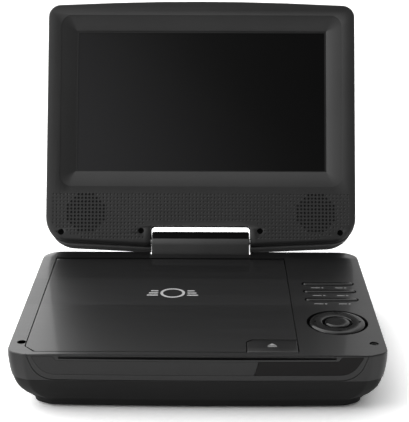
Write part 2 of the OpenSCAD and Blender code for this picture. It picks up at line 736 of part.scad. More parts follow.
module hinge_wires() color("firebrick") base_place() {
    rod_along_x(0.8, [-46, 2], hinge_y, hinge_z);
    post(1.3, 0, hinge_y, [base_notch_z + 2.2, hinge_z]);
}

module hinge_shafts() color("silver") screen_place() difference() {
    for (s = [-1, 1]) rod_along_x(1.8, [s * 30.8 - 9.8, s * 30.8 + 9.8], 0, 0);
    rod_along_x(1.1, [-60, -15], 0, 0);
}

module hinge_arms() color(metal_colour) screen_place() {
    for (s = [-1, 1]) difference() {
        union() {
            box([s * 39.6 - 1, s * 39.6 + 1], [-2.1, 3.4], [-1.2, 4]);
            box([s * 46.6 - 6, s * 46.6 + 6], [2, 3.4], [0, 24]);
            box([s * 40.6 - 2, s * 40.6 + 2], [2, 3.4], [0, 4]);
        }
        rod_along_x(1.8, [s * 39.6 - 2, s * 39.6 + 2], 0, 0);
        for (z = [11, 20]) rod_along_y(1.1, s * 47, [0, 6], z);
    }
}

// ---- screen ----

module screen_notch(margin) box([-notch_w / 2 - margin, notch_w / 2 + margin], [-20, 30], [-20, screen_notch_z + margin]);

// Rectangle around the picture, grown by margin
module picture_frame(margin, y) translate([0, y[1], picture_z]) rotate([90, 0, 0]) linear_extrude(y[1] - y[0])
    square([picture_w + 2 * margin, picture_h + 2 * margin], center = true);

module screen_bezel() color(base_colour) screen_place() difference() {
    screen_slab(0, [face_y, back_step]);
    difference() {
        screen_slab(1.8, [face_y + 1.8, back_step + 1]);
        screen_notch(wall);
        hull() {
            picture_frame(slope_w + 1.6, [face_y, face_y + 1.9]);
            picture_frame(1.6, [face_y, face_y + slope_d + 0.5]);
        }
        for (p = bezel_screws) rod_along_y(2.6, p[0], [face_y, back_step], p[1]);
    }
    hull() {
        picture_frame(slope_w, [face_y - 1, face_y]);
        picture_frame(0, [face_y, face_y + slope_d]);
    }
    picture_frame(0, [face_y, 0]);
    screen_notch(0);
    rod_along_x(2, [-41, 41], 0, 0);
    for (p = bezel_screws) {
        rod_along_y(1.75, p[0], [face_y - 1, face_y + 1.6], p[1]);
        rod_along_y(1, p[0], [face_y, 12], p[1]);
    }
}

module screen_back() color(base_colour) screen_place() difference() {
    hull() {
        screen_slab(0, [back_step, back_step + 2]);
        screen_slab(back_taper / 4, [back_step, back_y - 1.6]);
        screen_slab(back_taper, [back_step, back_y]);
    }
    difference() {
        hull() {
            screen_slab(1.8, [back_step - 1, back_step + 2]);
            screen_slab(back_taper / 4 + 1.8, [back_step - 1, back_y - 3.4]);
            screen_slab(back_taper + 1.6, [back_step - 1, back_y - 1.8]);
        }
        screen_notch(wall);
        for (p = bezel_screws) rod_along_y(2.6, p[0], [0, back_y], p[1]);
        for (s = [-1, 1], z = [11, 20]) rod_along_y(2.4, s * 47, [3.4, back_y], z);
    }
    screen_notch(0);
    for (p = bezel_screws) rod_along_y(1, p[0], [0, 8], p[1]);
}

module lcd_panel() color([0.05, 0.05, 0.06]) screen_place() {
    picture_frame(1.4, [face_y + slope_d + 0.5, face_y + slope_d + 1.3]);
    picture_frame(4.6, [face_y + slope_d + 1.3, 5.2]);
}

module speakers() color("black") screen_place() for (s = [-1, 1]) {
    rod_along_y(11.4, s * speaker_x, [face_y + 1.8, 1], speaker_z);
    rod_along_y(7, s * speaker_x, [1, 5], speaker_z);
}

module screen_electronics() color(board_colour) screen_place() {
    box([-34, 34], [6.2, 7.4], [13, 34]);
    box([-22, -8], [4.8, 6.2], [16, 30]);
    box([4, 12], [5, 6.2], [18, 28]);
    box([-12, 12], [5.9, 6.2], [30, 44]);
}

top_deck();
lower_body();
bottom_cover();
battery_door();
rubber_feet();
base_screws();
deck_screws();
front_trim();
ir_window();
ir_board();
ir_parts();
disc_tray();
loader_chassis();
chassis_grommets();
inner_screws();
spindle_motor();
turntable_hub();
guide_rods();
pickup_sled();
pickup_lens();
lead_screw();
sled_motor();
disc_lid();
lid_liner();
lid_pins();
lid_lugs();
lid_spring();
open_key();
open_key_guide();
open_key_spring();
lid_latch();
key_frame();
key_board();
key_mat();
nav_pivot();
nav_ring();
enter_key();
bar_key_1();
bar_key_2();
bar_key_3();
main_board();
main_chips();
battery_pack();
charge_jack();
phone_jack();
video_jack();
volume_pot();
volume_wheel();
power_switch();
power_knob();
hinge_bracket();
hinge_cover();
hinge_wires();
hinge_shafts();
hinge_arms();
screen_bezel();
screen_back();
lcd_panel();
speakers();
screen_electronics();
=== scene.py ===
import json
from math import cos, sin, pi, radians, sqrt, hypot

import bmesh
import bpy
from mathutils import Matrix, Vector


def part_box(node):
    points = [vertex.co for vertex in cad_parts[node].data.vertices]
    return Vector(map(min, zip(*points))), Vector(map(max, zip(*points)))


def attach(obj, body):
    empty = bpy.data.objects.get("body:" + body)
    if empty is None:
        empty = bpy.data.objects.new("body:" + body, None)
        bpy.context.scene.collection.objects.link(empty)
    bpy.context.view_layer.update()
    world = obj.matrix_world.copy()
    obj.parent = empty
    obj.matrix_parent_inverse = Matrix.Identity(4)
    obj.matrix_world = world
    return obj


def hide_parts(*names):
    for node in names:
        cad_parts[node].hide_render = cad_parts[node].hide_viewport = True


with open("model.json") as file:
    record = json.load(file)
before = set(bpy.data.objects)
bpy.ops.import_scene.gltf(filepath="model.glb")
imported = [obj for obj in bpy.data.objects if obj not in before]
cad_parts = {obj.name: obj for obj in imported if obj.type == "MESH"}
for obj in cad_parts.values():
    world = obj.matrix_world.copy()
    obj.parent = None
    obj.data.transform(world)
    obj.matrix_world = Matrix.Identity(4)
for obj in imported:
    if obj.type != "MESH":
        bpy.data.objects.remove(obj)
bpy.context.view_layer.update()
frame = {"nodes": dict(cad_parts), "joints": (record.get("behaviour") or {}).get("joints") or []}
print("frame loaded")

mm = 0.001  # settings are in millimetres, meshes in metres
joints = {j["name"]: j for j in frame["joints"]}
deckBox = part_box("top_deck")
frontY = deckBox[0].y
deckTop = deckBox[1].z / mm
hinge = Vector(joints["screen_tilt"]["pos_m"])
lean = radians(-joints["screen_tilt"]["range_deg"][0] - 90)
basePlace = Matrix.Translation((0, frontY, 0)) @ Matrix.Scale(mm, 4)
screenPlace = Matrix.Translation(hinge) @ Matrix.Rotation(-lean, 4, "X") @ Matrix.Scale(mm, 4)


def span(node, place):  # a CAD node's box in the millimetres of a place
    back = place.inverted()
    points = [back @ v.co for v in frame["nodes"][node].data.vertices]
    low = Vector([min(p[i] for p in points) for i in range(3)])
    high = Vector([max(p[i] for p in points) for i in range(3)])
    return low, high


def middle(node, place):
    low, high = span(node, place)
    return (low + high) / 2


class Term:  # a shader value that takes part in sums
    def __init__(self, tree, socket):
        self.tree = tree
        self.socket = socket

    def maths(self, operation, *values):
        node = self.tree.nodes.new("ShaderNodeMath")
        node.operation = operation
        for slot, value in zip(node.inputs, values):
            feed(self.tree, slot, value)
        return Term(self.tree, node.outputs[0])

    def __add__(self, other):
        return self.maths("ADD", self, other)

    __radd__ = __add__

    def __mul__(self, other):
        return self.maths("MULTIPLY", self, other)

    __rmul__ = __mul__

    def __sub__(self, other):
        return self.maths("SUBTRACT", self, other)

    def __rsub__(self, other):
        return self.maths("SUBTRACT", other, self)

    def __truediv__(self, other):
        return self.maths("DIVIDE", self, other)

    def __pow__(self, other):
        return self.maths("POWER", self, other)

    def __abs__(self):
        return self.maths("ABSOLUTE", self)

    def most(self, other):
        return self.maths("MAXIMUM", self, other)

    def wave(self):
        return self.maths("SINE", self)

    def ramp(self, low, high):  # 0 below low, 1 above high, smooth between
        node = self.tree.nodes.new("ShaderNodeMapRange")
        node.interpolation_type = "SMOOTHSTEP"
        feed(self.tree, node.inputs["Value"], self)
        node.inputs["From Min"].default_value = low
        node.inputs["From Max"].default_value = high
        return Term(self.tree, node.outputs["Result"])


def feed(tree, slot, value):  # a link or a plain value into a socket
    if isinstance(value, Term):
        tree.links.new(value.socket, slot)
    elif hasattr(value, "__len__") and slot.type == "RGBA":
        slot.default_value = (*value, 1) if len(value) == 3 else value
    else:
        slot.default_value = value


class Finish:  # one procedural material
    def __init__(self, name, **fixed):
        self.material = bpy.data.materials.new(name)
        self.material.use_nodes = True
        self.tree = self.material.node_tree
        self.shader = self.tree.nodes["Principled BSDF"]
        self.coords = self.add("ShaderNodeTexCoord", output="Object")
        parts = self.add("ShaderNodeSeparateXYZ", output=None, Vector=self.coords)
        self.x, self.y, self.z = (Term(self.tree, o) for o in parts.outputs)
        for key, value in fixed.items():
            self.set(key.replace("_", " "), value)

    def add(self, kind, settings=None, output=0, **values):
        node = self.tree.nodes.new(kind)
        for key, value in (settings or {}).items():
            setattr(node, key, value)
        for key, value in values.items():
            feed(self.tree, node.inputs[key.replace("_", " ")], value)
        return node if output is None else Term(self.tree, node.outputs[output])

    def set(self, name, value):
        feed(self.tree, self.shader.inputs[name], value)

    def noise(self, scale, detail=3, stretch=(1, 1, 1), rough=0.5):
        spread = self.add("ShaderNodeVectorMath", {"operation": "MULTIPLY"})
        product = spread.socket.node
        feed(self.tree, product.inputs[0], self.coords)
        product.inputs[1].default_value = stretch
        return self.add("ShaderNodeTexNoise", Vector=Term(self.tree, product.outputs[0]),
                        Scale=scale, Detail=detail, Roughness=rough)

    def blend(self, factor, first, second):
        node = self.tree.nodes.new("ShaderNodeMix")
        node.data_type = "RGBA"
        feed(self.tree, node.inputs[0], factor)
        feed(self.tree, node.inputs[6], first)
        feed(self.tree, node.inputs[7], second)
        return Term(self.tree, node.outputs[2])

    def bump(self, height, strength, distance):
        self.set("Normal", self.add("ShaderNodeBump", Height=height, Strength=strength, Distance=distance))


def grey(level):  # a plain tone, from a display level of 0 to 255
    tone = level / 255
    linear = tone / 12.92 if tone <= 0.04045 else ((tone + 0.055) / 1.055) ** 2.4
    return (linear, linear, linear)


def tinted(level, red=1.0, green=1.0, blue=1.0):
    tone = grey(level)[0]
    return (tone * red, tone * green, tone * blue)


deckLook = {
    "tone": 14, "streak": 24, "rough": 0.34, "band": (66, 105), "bandPitch": 1.3, "coat": 0.25,
}


def glossFinish(name, tone, streak):  # dark polished plastic with a fine brushed pattern across it
    f = Finish(name, IOR=1.5, Coat_Weight=deckLook["coat"], Coat_Roughness=0.08)
    lines = f.noise(1500, 2, (0.012, 1, 1), 0.6)
    broad = f.noise(300, 2, (0.03, 1, 1))
    y = (f.y - frontY) / mm
    band = y.ramp(deckLook["band"][0] - 0.4,
                  deckLook["band"][0] + 0.4) * (1 - y.ramp(deckLook["band"][1] - 0.4,
                                                           deckLook["band"][1] + 0.4))
    ribs = ((y * (2 * pi / deckLook["bandPitch"])).wave() * 0.5 + 0.5) * band
    mix = (lines * 0.7 + broad * 0.3 + ribs * 0.35).ramp(0.3, 0.95)
    f.set("Base Color", f.blend(mix, tinted(tone, 1, 1, 1.04), tinted(streak, 1, 1, 1.04)))
    f.set("Roughness", lines * 0.12 + deckLook["rough"] - 0.04 + band * 0.03)
    f.bump(lines * 0.5 + ribs * 0.5, 0.12, 0.00006)
    return f.material


# moulded plastic with a fine grain; when paintedShade is given, a black painted shade band below and behind
# the leaning screen's lower edge
def satinFinish(name, low, high, rough, grain=2600, bumpBy=0.2, warm=1.0, shine=0.5, paintedShade=None):
    f = Finish(name, IOR=1.48, Specular_IOR_Level=shine)
    fine = f.noise(grain, 4)
    patch = f.noise(38, 3)
    tone = f.blend(patch.ramp(0.3, 0.7), tinted(low, 1, 1, warm), tinted(high, 1, 1, warm))
    rough = fine * 0.14 + rough - 0.07
    if paintedShade:  # painted shade: black colour and full roughness below and behind an edge of the leaning screen, standing in for the shade there
        foot, edge = paintedShade
        up = (f.y - hinge.y) * sin(lean) + (f.z - hinge.z) * cos(lean)
        back = (f.y - hinge.y) * cos(lean) - (f.z - hinge.z) * sin(lean)
        lit = up.ramp(foot, foot + 0.002).most(1 - back.ramp(edge, edge + 0.0004))
        # painted shade: the colour goes to black outside the lit part
        tone = f.blend(lit, grey(2), tone)
        rough = 1 - lit * (1 - rough)
    f.set("Base Color", tone)
    f.set("Roughness", rough)
    f.bump(fine, bumpBy, 0.00012)
    return f.material


def metalFinish(name, level, rough, along=(1, 0.05, 1)):  # drawn or turned metal
    f = Finish(name, Metallic=1.0)
    streaks = f.noise(900, 3, along)
    f.set("Base Color", f.blend(streaks, grey(level - 14), grey(level + 8)))
    f.set("Roughness", streaks * 0.2 + rough - 0.1)
    f.bump(streaks, 0.08, 0.00005)
    return f.material


def boardFinish(name):  # circuit board: lacquer over copper tracks, with tinned spots
    f = Finish(name, IOR=1.5, Coat_Weight=0.4, Coat_Roughness=0.15)
    cells = f.add("ShaderNodeTexVoronoi", {"feature": "DISTANCE_TO_EDGE"}, Vector=f.coords, Scale=160)
    spots = f.add("ShaderNodeTexVoronoi", {"feature": "F1"}, Vector=f.coords, Scale=330)
    tracks = f.blend(cells.ramp(0.05, 0.09), (0.02, 0.1, 0.04), (0.012, 0.055, 0.03))
    f.set("Base Color", f.blend(1 - spots.ramp(0.1, 0.16), tracks, (0.6, 0.58, 0.5)))
    f.set("Roughness", 0.5 - cells.ramp(0.0, 0.2) * 0.12)
    f.bump(cells.ramp(0.04, 0.1), 0.3, 0.0001)
    return f.material


def clearDarkFinish(name, level, red, rough):  # smoked window
    f = Finish(name, IOR=1.3)
    cloud = f.noise(60, 2)
    f.set("Base Color", f.blend(cloud, tinted(level, red), tinted(level + 8, red)))
    f.set("Roughness", cloud * 0.04 + rough)
    f.bump(cloud, 0.02, 0.00005)
    return f.material


def pictureFinish(name):  # the switched-off picture: nearly black, with a painted reflection: base colour lighter towards its lower left
    f = Finish(name, IOR=1.25)
    low, high = span("lcd_panel", screenPlace)
    x = f.x / mm
    up = (f.z - hinge.z) / (mm * cos(lean))
    # painted reflection: a colour ramp from dark at the upper right to lighter at the lower left
    paintedSheen = (x * (-1 / (high.x - low.x)) + up * (-0.5 / (high.z - low.z)) + 0.72).ramp(0.0, 1.25)
    grainy = f.noise(5200, 2)
    f.set("Base Color", f.blend(paintedSheen, tinted(3, 1, 1, 1.05), tinted(46, 1, 1, 1.06)))
    f.set("Roughness", grainy * 0.08 + 0.34)
    f.bump(grainy, 0.05, 0.00003)
    return f.material


def printFinish(name, level):  # printed mark
    f = Finish(name, IOR=1.45)
    fleck = f.noise(3000, 2)
    f.set("Base Color", f.blend(fleck, grey(level - 12), grey(level + 4)))
    f.set("Roughness", fleck * 0.1 + 0.38)
    return f.material


def batteryFinish(name):
    f = Finish(name, IOR=1.45, Coat_Weight=0.3)
    fine = f.noise(700, 3)
    wrap = ((f.x / mm) * 0.9).wave().ramp(0.96, 1.0)
    f.set("Base Color", f.blend(wrap, (0.03, 0.09, 0.2), (0.3, 0.32, 0.34)))
    f.set("Roughness", fine * 0.2 + 0.3)
    f.bump(fine, 0.15, 0.0001)
    return f.material


stage = {"bounce": (0.25, 0.25, 0.25), "mirrored": (0.8, 0.8, 0.8),
         "sheet": ((1.45, 1.45, 1.45), (1.5, 1.5, 1.5)),
         "rear": 2.6, "rearDrop": 1.9, "front": 0.2, "left": 0.75, "top": 0.4}


def floorFinish(name):  # white sheet that throws little light back up
    f = Finish(name)
    cloud = f.noise(4, 2)
    soft = f.add("ShaderNodeLightPath", output="Is Diffuse Ray")
    eye = f.add("ShaderNodeLightPath", output="Is Camera Ray")
    white = f.blend(cloud, stage["sheet"][0], stage["sheet"][1])
    matt = f.add("ShaderNodeBsdfDiffuse",
                 Color=f.blend(eye, f.blend(soft, stage["mirrored"], stage["bounce"]), white))
    f.tree.links.new(matt.socket, f.tree.nodes["Material Output"].inputs["Surface"])
    f.tree.nodes.remove(f.shader)
    return f.material


gloss = glossFinish("deckGloss", deckLook["tone"], deckLook["streak"])
lidGloss = glossFinish("lidGloss", deckLook["tone"], deckLook["streak"] + 3)
shellSatin = satinFinish("shellSatin", 16, 20, 0.5, shine=0.3)
# the bezel's lower edge gets a black band of painted shade
frameSatin = satinFinish("frameSatin", 42, 46, 0.42, 2600, 0.14, paintedShade=(0.0034, -0.0026))
backSatin = satinFinish("backSatin", 18, 22, 0.5, 2600, 0.14, shine=0.2)
hingeSatin = satinFinish("hingeSatin", 70, 76, 0.34)
keyGloss = satinFinish("keyGloss", 22, 28, 0.18, 1800, 0.05)
trimGloss = satinFinish("trimGloss", 34, 38, 0.24, 1800, 0.05)
blackPlastic = satinFinish("blackPlastic", 16, 22, 0.4)
deepBlack = satinFinish("deepBlack", 2, 5, 0.7, 1500, 0.1, shine=0.08)
greyPlastic = satinFinish("greyPlastic", 50, 60, 0.5)
rubber = satinFinish("rubber", 22, 30, 0.75, 1500, 0.5)
silicone = satinFinish("silicone", 190, 205, 0.6, 1500, 0.2, 0.94)
steel = metalFinish("steel", 170, 0.34)
brightSteel = metalFinish("brightSteel", 205, 0.22, (1, 0.2, 1))
darkSteel = metalFinish("darkSteel", 70, 0.35)
boardGreen = boardFinish("boardGreen")
smoked = clearDarkFinish("smoked", 8, 1.35, 0.08)
lensGlass = clearDarkFinish("lensGlass", 90, 0.6, 0.04)
picture = pictureFinish("picture")
paleMark = printFinish("paleMark", 188)
keyMark = printFinish("keyMark", 150)
wrap = batteryFinish("batteryWrap")
wireRed = satinFinish("wireRed", 90, 110, 0.45, 1800, 0.1, 0.2)
floorWhite = floorFinish("floorWhite")
print("materials made")


def fillet(corners, steps=6):  # (x, y, radius) corners of a closed outline, rounded
    points = []
    count = len(corners)
    for i, (x, y, r) in enumerate(corners):
        here = Vector((x, y))
        before = Vector(corners[i - 1][:2]) - here
        after = Vector(corners[(i + 1) % count][:2]) - here
        if r <= 0:
            points.append((x, y))
            continue
        a, b = before.normalized(), after.normalized()
        half = a.angle(b) / 2
        if half > pi / 2 - 0.02:
            points += [(x, y)] * (steps + 1)
            continue
        reach = min(r / abs(sin(half) / cos(half)), before.length * 0.49, after.length * 0.49)
        r = reach * sin(half) / cos(half)
        centre = here + (a + b).normalized() * (r / sin(half))
        start, end = here + a * reach - centre, here + b * reach - centre
        turn = start.angle_signed(end)
        for k in range(steps + 1):
            spin = Matrix.Rotation(-turn * k / steps, 2)
            p = centre + spin @ start
            points.append((p.x, p.y))
    return points


def newMesh(bm, name, place, material, smooth=35):
    bmesh.ops.remove_doubles(bm, verts=bm.verts, dist=0.002)
    bmesh.ops.recalc_face_normals(bm, faces=bm.faces)
    bm.transform(place)
    mesh = bpy.data.meshes.new(name)
    bm.to_mesh(mesh)
    bm.free()
    mesh.materials.append(material)
    piece = bpy.data.objects.new(name, mesh)
    bpy.context.scene.collection.objects.link(piece)
    shade(piece, smooth)
    return piece


def shade(piece, angle=35):
    mesh = piece.data
    bm = bmesh.new()
    bm.from_mesh(mesh)
    for face in bm.faces:
        face.smooth = True
    for edge in bm.edges:
        edge.smooth = len(edge.link_faces) == 2 and edge.calc_face_angle(0) < radians(angle)
    bm.to_mesh(mesh)
    bm.free()


def addSides(bm, rings, closed=False):  # faces between rings of equal length, and last to first if closed
    rows = [[bm.verts.new(p) for p in ring] for ring in rings]
    for a, b in zip(rows, rows[1:] + rows[:1] if closed else rows[1:]):
        for i in range(len(a)):
            j = (i + 1) % len(a)
            bm.faces.new((a[i], a[j], b[j], b[i]))
    return rows


def addLoft(bm, rings):  # closed skin over rings of equal length
    rows = addSides(bm, rings)
    bm.faces.new(rows[0][::-1])
    bm.faces.new(rows[-1])


# an outline drawn up along an axis, with softened rims
def addSlab(bm, outline, low, high, axis="z", edge=0.0):
    def lift(points, level):
        turned = {"z": lambda x, y: (x, y, level), "y": lambda x, y: (x, level, y),
                  "x": lambda x, y: (level, x, y)}
        return [turned[axis](x, y) for x, y in points]
    if edge <= 0:
        addLoft(bm, [lift(outline, low), lift(outline, high)])
        return
    rings = []
    for k in range(4):
        a = pi / 2 * k / 3
        rings.append((edge * (1 - sin(a)), low + edge * (1 - cos(a))))
    levels = rings + [(d, high - (level - low)) for d, level in rings[::-1]]
    addLoft(bm, [lift(shrink(outline, d), level) for d, level in levels])


def shrink(outline, by):  # an outline moved inwards
    if by == 0:
        return outline
    count = len(outline)
    area = sum(outline[i - 1][0] * outline[i][1] - outline[i][0] * outline[i - 1][1] for i in range(count))
    side = 1 if area > 0 else -1
    moved = []
    for i in range(count):
        here = Vector(outline[i])
        j, k = i - 1, (i + 1) % count
        while (Vector(outline[j]) - here).length < 1e-5:
            j -= 1
        while (Vector(outline[k]) - here).length < 1e-5:
            k = (k + 1) % count
        a = (here - Vector(outline[j])).normalized()
        b = (Vector(outline[k]) - here).normalized()
        n1, n2 = Vector((-a.y, a.x)) * side, Vector((-b.y, b.x)) * side
        mid = (n1 + n2).normalized()
        p = here + mid * (by / max(mid.dot(n1), 0.4))
        moved.append((p.x, p.y))
    return moved


def circle(x, y, r, steps=48, start=0.0):
    return [(x + r * cos(start + 2 * pi * k / steps), y + r * sin(start + 2 * pi * k / steps))
            for k in range(steps)]


def rect(x0, x1, y0, y1, r=0.0, steps=5):
    return fillet([(x0, y0, r), (x1, y0, r), (x1, y1, r), (x0, y1, r)], steps)


def pill(x, y, length, width, steps=12):
    reach = (length - width) / 2
    right = [(x + reach + width / 2 * cos(a), y + width / 2 * sin(a))
             for a in [pi * k / steps - pi / 2 for k in range(steps + 1)]]
    left = [(x - reach + width / 2 * cos(a), y + width / 2 * sin(a))
            for a in [pi * k / steps + pi / 2 for k in range(steps + 1)]]
    return right + left


def addTurned(bm, profile, centre, axis="z", steps=48):  # (radius, level) profile spun round an axis
    for v in bm.verts:
        v.tag = True
    verts = [bm.verts.new((r, 0, z)) for r, z in profile]
    edges = [bm.edges.new(pair) for pair in zip(verts, verts[1:])]
    bmesh.ops.spin(bm, geom=verts + edges, cent=(0, 0, 0), axis=(0, 0, 1), angle=2 * pi, steps=steps,
                   use_merge=True)
    fresh = [v for v in bm.verts if not v.tag]
    turn = {"z": Matrix.Identity(4), "x": Matrix.Rotation(pi / 2, 4, "Y"),
            "y": Matrix.Rotation(-pi / 2, 4, "X")}[axis]
    bmesh.ops.remove_doubles(bm, verts=fresh, dist=0.0005)
    fresh = [v for v in bm.verts if not v.tag]
    bmesh.ops.transform(bm, matrix=Matrix.Translation(centre) @ turn, verts=fresh)


def solid(build, name, place, material, smooth=35):  # a piece from a function that fills a mesh
    bm = bmesh.new()
    build(bm)
    return newMesh(bm, name, place, material, smooth)


# a boolean, made part of the mesh
def carve(piece, cutter, solver="MANIFOLD", operation="DIFFERENCE", smooth=35):
    cut = piece.modifiers.new("cut", "BOOLEAN")
    cut.operation = operation
    cut.solver = solver
    cut.object = cutter
    bake(piece)
    bpy.data.objects.remove(cutter)
    shade(piece, smooth)
    return piece


def bake(piece):  # modifiers made part of the mesh
    bpy.context.view_layer.update()
    graph = bpy.context.evaluated_depsgraph_get()
    mesh = bpy.data.meshes.new_from_object(piece.evaluated_get(graph))
    piece.modifiers.clear()
    old = piece.data
    piece.data = mesh
    bpy.data.meshes.remove(old)


def soften(piece, width, segments=2, angle=32):  # rounded edges
    bevel = piece.modifiers.new("edges", "BEVEL")
    bevel.width = width * mm
    bevel.segments = segments
    bevel.limit_method = "ANGLE"
    bevel.angle_limit = radians(angle)
    bevel.use_clamp_overlap = True
    bevel.harden_normals = True
    return piece


def place(piece, body, slotName, *nodes):
    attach(piece, body)
    if nodes:
        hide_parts(*nodes)
    return piece


base = {
    "rearRound": 11, "chamfer": (9, 5.5), "bow": 1.2, "bowSteps": 4, "cornerRound": 7, "frontRound": 5,
    "levels": [(0.35, 4.2, 0.0), (0.1, 2.4, 0.3), (0.0, 1.1, 0.9), (0.0, 0.3, 1.9), (0.0, 0.0, 3.2),
               (0.25, 0.2, 7.0), (0.7, 0.45, 11.0), (1.4, 0.8, 14.3)],
    "lower": [(1.7, 1.0, 14.45), (1.95, 1.15, 15.4), (2.5, 1.5, 17.5), (3.5, 2.1, 20.0), (5.0, 2.8, 22.2),
              (6.9, 3.6, 24.2), (8.9, 4.4, 25.6), (9.8, 4.8, 26.2), (9.9, 4.9, 26.8)],
}
deckHigh = span("top_deck", basePlace)[1]
halfWidth = deckHigh.x
baseDepth = deckHigh.y


def basePlan(side, end, rear):  # the base's outline seen from above
    half = halfWidth - side
    back = baseDepth - rear
    flat = half - base["chamfer"][0]
    front = [(flat * k / base["bowSteps"], end + base["bow"] * k * k / base["bowSteps"] ** 2)
             for k in range(-base["bowSteps"], base["bowSteps"] + 1)]
    r = base["cornerRound"]
    corners = [(half, back, base["rearRound"]), (-half, back, base["rearRound"]),
               (-half, end + base["chamfer"][1], r), (*front[0], base["frontRound"])]
    corners += [(*p, 0) for p in front[1:-1]] + [(*front[-1], base["frontRound"]),
                                                 (half, end + base["chamfer"][1], r)]
    return fillet(corners, 8)


def ring(side, end, rear, z):
    return [(x, y, z) for x, y in basePlan(side, end, rear)]


def skinRings(grow):  # the deck's outer skin, or one inside it
    rings = []
    for side, end, down in base["levels"]:
        front = side * 0.6
        rings.append(ring(side + grow, front + grow, max(end, side * 0.5) + grow, deckTop - down))
    return rings


def deckHoles(bm):
    lidLow, lidHigh = span("disc_lid", basePlace)
    seam = 0.55
    corner = [(lidLow.x - seam, lidLow.y + 6, 1), (lidLow.x + 4.6, lidLow.y - seam, 1),
              (lidHigh.x + seam, lidLow.y - seam, 0.6),
              (lidHigh.x + seam, lidHigh.y + seam, 0.3), (lidLow.x - seam, lidHigh.y + seam, 0.3)]
    addSlab(bm, fillet(corner, 4), deckTop - 3.1, deckTop + 2)
    coverHigh = span("hinge_cover", basePlace)[1]
    notch = coverHigh.x + 0.8
    addSlab(bm, fillet([(-notch, 146, 1.6), (notch, 146, 1.6), (notch, baseDepth + 4, 0),
                        (-notch, baseDepth + 4, 0)], 4), 20, deckTop + 2)
    nav = middle("nav_ring", basePlace)
    navR = (span("nav_ring", basePlace)[1].x - nav.x)
    addSlab(bm, circle(nav.x, nav.y, navR + 0.95, 64), deckTop - 3, deckTop + 2)
    for k in (1, 2, 3):
        low, high = span(f"bar_key_{k}", basePlace)
        addSlab(bm, pill((low.x + high.x) / 2, (low.y + high.y) / 2, high.x - low.x + 0.9, 5.3),
                deckTop - 3, deckTop + 2)
    for side in (-1, 1):
        addSlab(bm, circle(side * 89, 16, 2.3, 32), deckTop - 1.3, deckTop + 1)
    addSlab(bm, rect(-68.7, 68.7, -2, 1.9), deckTop - 2.1, deckTop - 0.6)


def sideHoles(bm):
    for node, r in (("phone_jack", 3.2), ("video_jack", 3.2), ("charge_jack", 3.9)):
        c = middle(node, basePlace)
        addSlab(bm, circle(c.y, 22, r, 40), 88, 99, "x")
    wheel = middle("volume_wheel", basePlace)
    addSlab(bm, rect(wheel.y - 7, wheel.y + 7, wheel.z - 1.8, wheel.z + 1.8, 0.8), 88, 99, "x")
    knob = middle("power_knob", basePlace)
    addSlab(bm, rect(knob.y - 2.8, knob.y + 6.8, knob.z - 1.7, knob.z + 1.7, 0.8), -99, -88, "x")


trim = {"high": 31.0, "rise": 71.5}


def trimShape(bm, x0, lean0, x1, lean1, grow=0.0, back=12):
    top, low, high = 28.9 + grow, 21.3 - grow, trim["high"] + grow
    outline = []
    outline += [(x0 - 1.5 - grow, low, 11 + grow)] if lean0 < 0 else [(x0 - grow, low, 0.3)]
    outline += [(x1 + 1.5 + grow, low, 11 + grow)] if lean1 > 5 else [(x1 + grow, low, 0.3)]
    if lean1 > 5:
        outline += [(x1 + lean1 + grow, high, 0.6), (trim["rise"] - grow, high, 1.2),
                    (trim["rise"] - 1.3 - grow, top, 1.2)]
    else:
        outline += [(x1 + lean1 + grow, top, 0.3)]
    if lean0 < 0:
        outline += [(-trim["rise"] + 1.3 + grow, top, 1.2), (-trim["rise"] + grow, high, 1.2),
                    (x0 + lean0 - grow, high, 0.6)]
    else:
        outline += [(x0 + lean0 - grow, top, 0.3)]
    if back is None:
        return fillet(outline, 9)
    addSlab(bm, fillet(outline, 9), -3, back, "y")


def skinSolid(grow, name, material=gloss):
    return solid(lambda bm: addLoft(bm, skinRings(grow)), name, basePlace, material)


deck = skinSolid(0, "topDeck")
carve(deck, solid(lambda bm: addLoft(bm, [[(x, y, z) for x, y in basePlan(2.6, 2.3, 3.2)]
                                          for z in (deckTop - 2, 16)]), "cavity", basePlace, gloss))
carve(deck, solid(deckHoles, "holes", basePlace, gloss))
pocketCut = solid(lambda bm: trimShape(bm, -75, -7.5, 75, 7.5, 0.12), "pocket", basePlace, gloss)
carve(pocketCut, skinSolid(0.9, "core"))
carve(deck, pocketCut)


def seamShape(bm):  # narrow band that follows the strip's outline at a distance
    outer, inner = (trimShape(None, -75, -7.5, 75, 7.5, grow, None) for grow in (3.35, 2.95))
    addSides(bm, [[(x, y, z) for x, z in points]
                  for points, y in ((outer, -3), (outer, 12), (inner, 12), (inner, -3))], True)


seamCut = solid(seamShape, "seam", basePlace, gloss)
carve(seamCut, skinSolid(0.5, "seamCore"))
carve(deck, seamCut)
carve(deck, solid(sideHoles, "ports", basePlace, gloss))
soften(deck, 0.22, 2)
place(deck, "base", "deck", "top_deck")
print("deck made")

for name, body, shape, look, node in (
    ("frontTrim", "base", (-75, -7.5, 28.0, 2.2), trimGloss, "front_trim"),
    ("irWindow", "base", (28.3, 2.2, 75, 7.5), smoked, "ir_window"),
):
    strip = solid(lambda bm: trimShape(bm, *shape), name, basePlace, look)
    carve(strip, skinSolid(0.02, "outer"), operation="INTERSECT")
    carve(strip, skinSolid(1.0, "inner"))
    soften(strip, 0.18, 2)
    place(strip, body, "trim" if node == "front_trim" else "smoked", node)

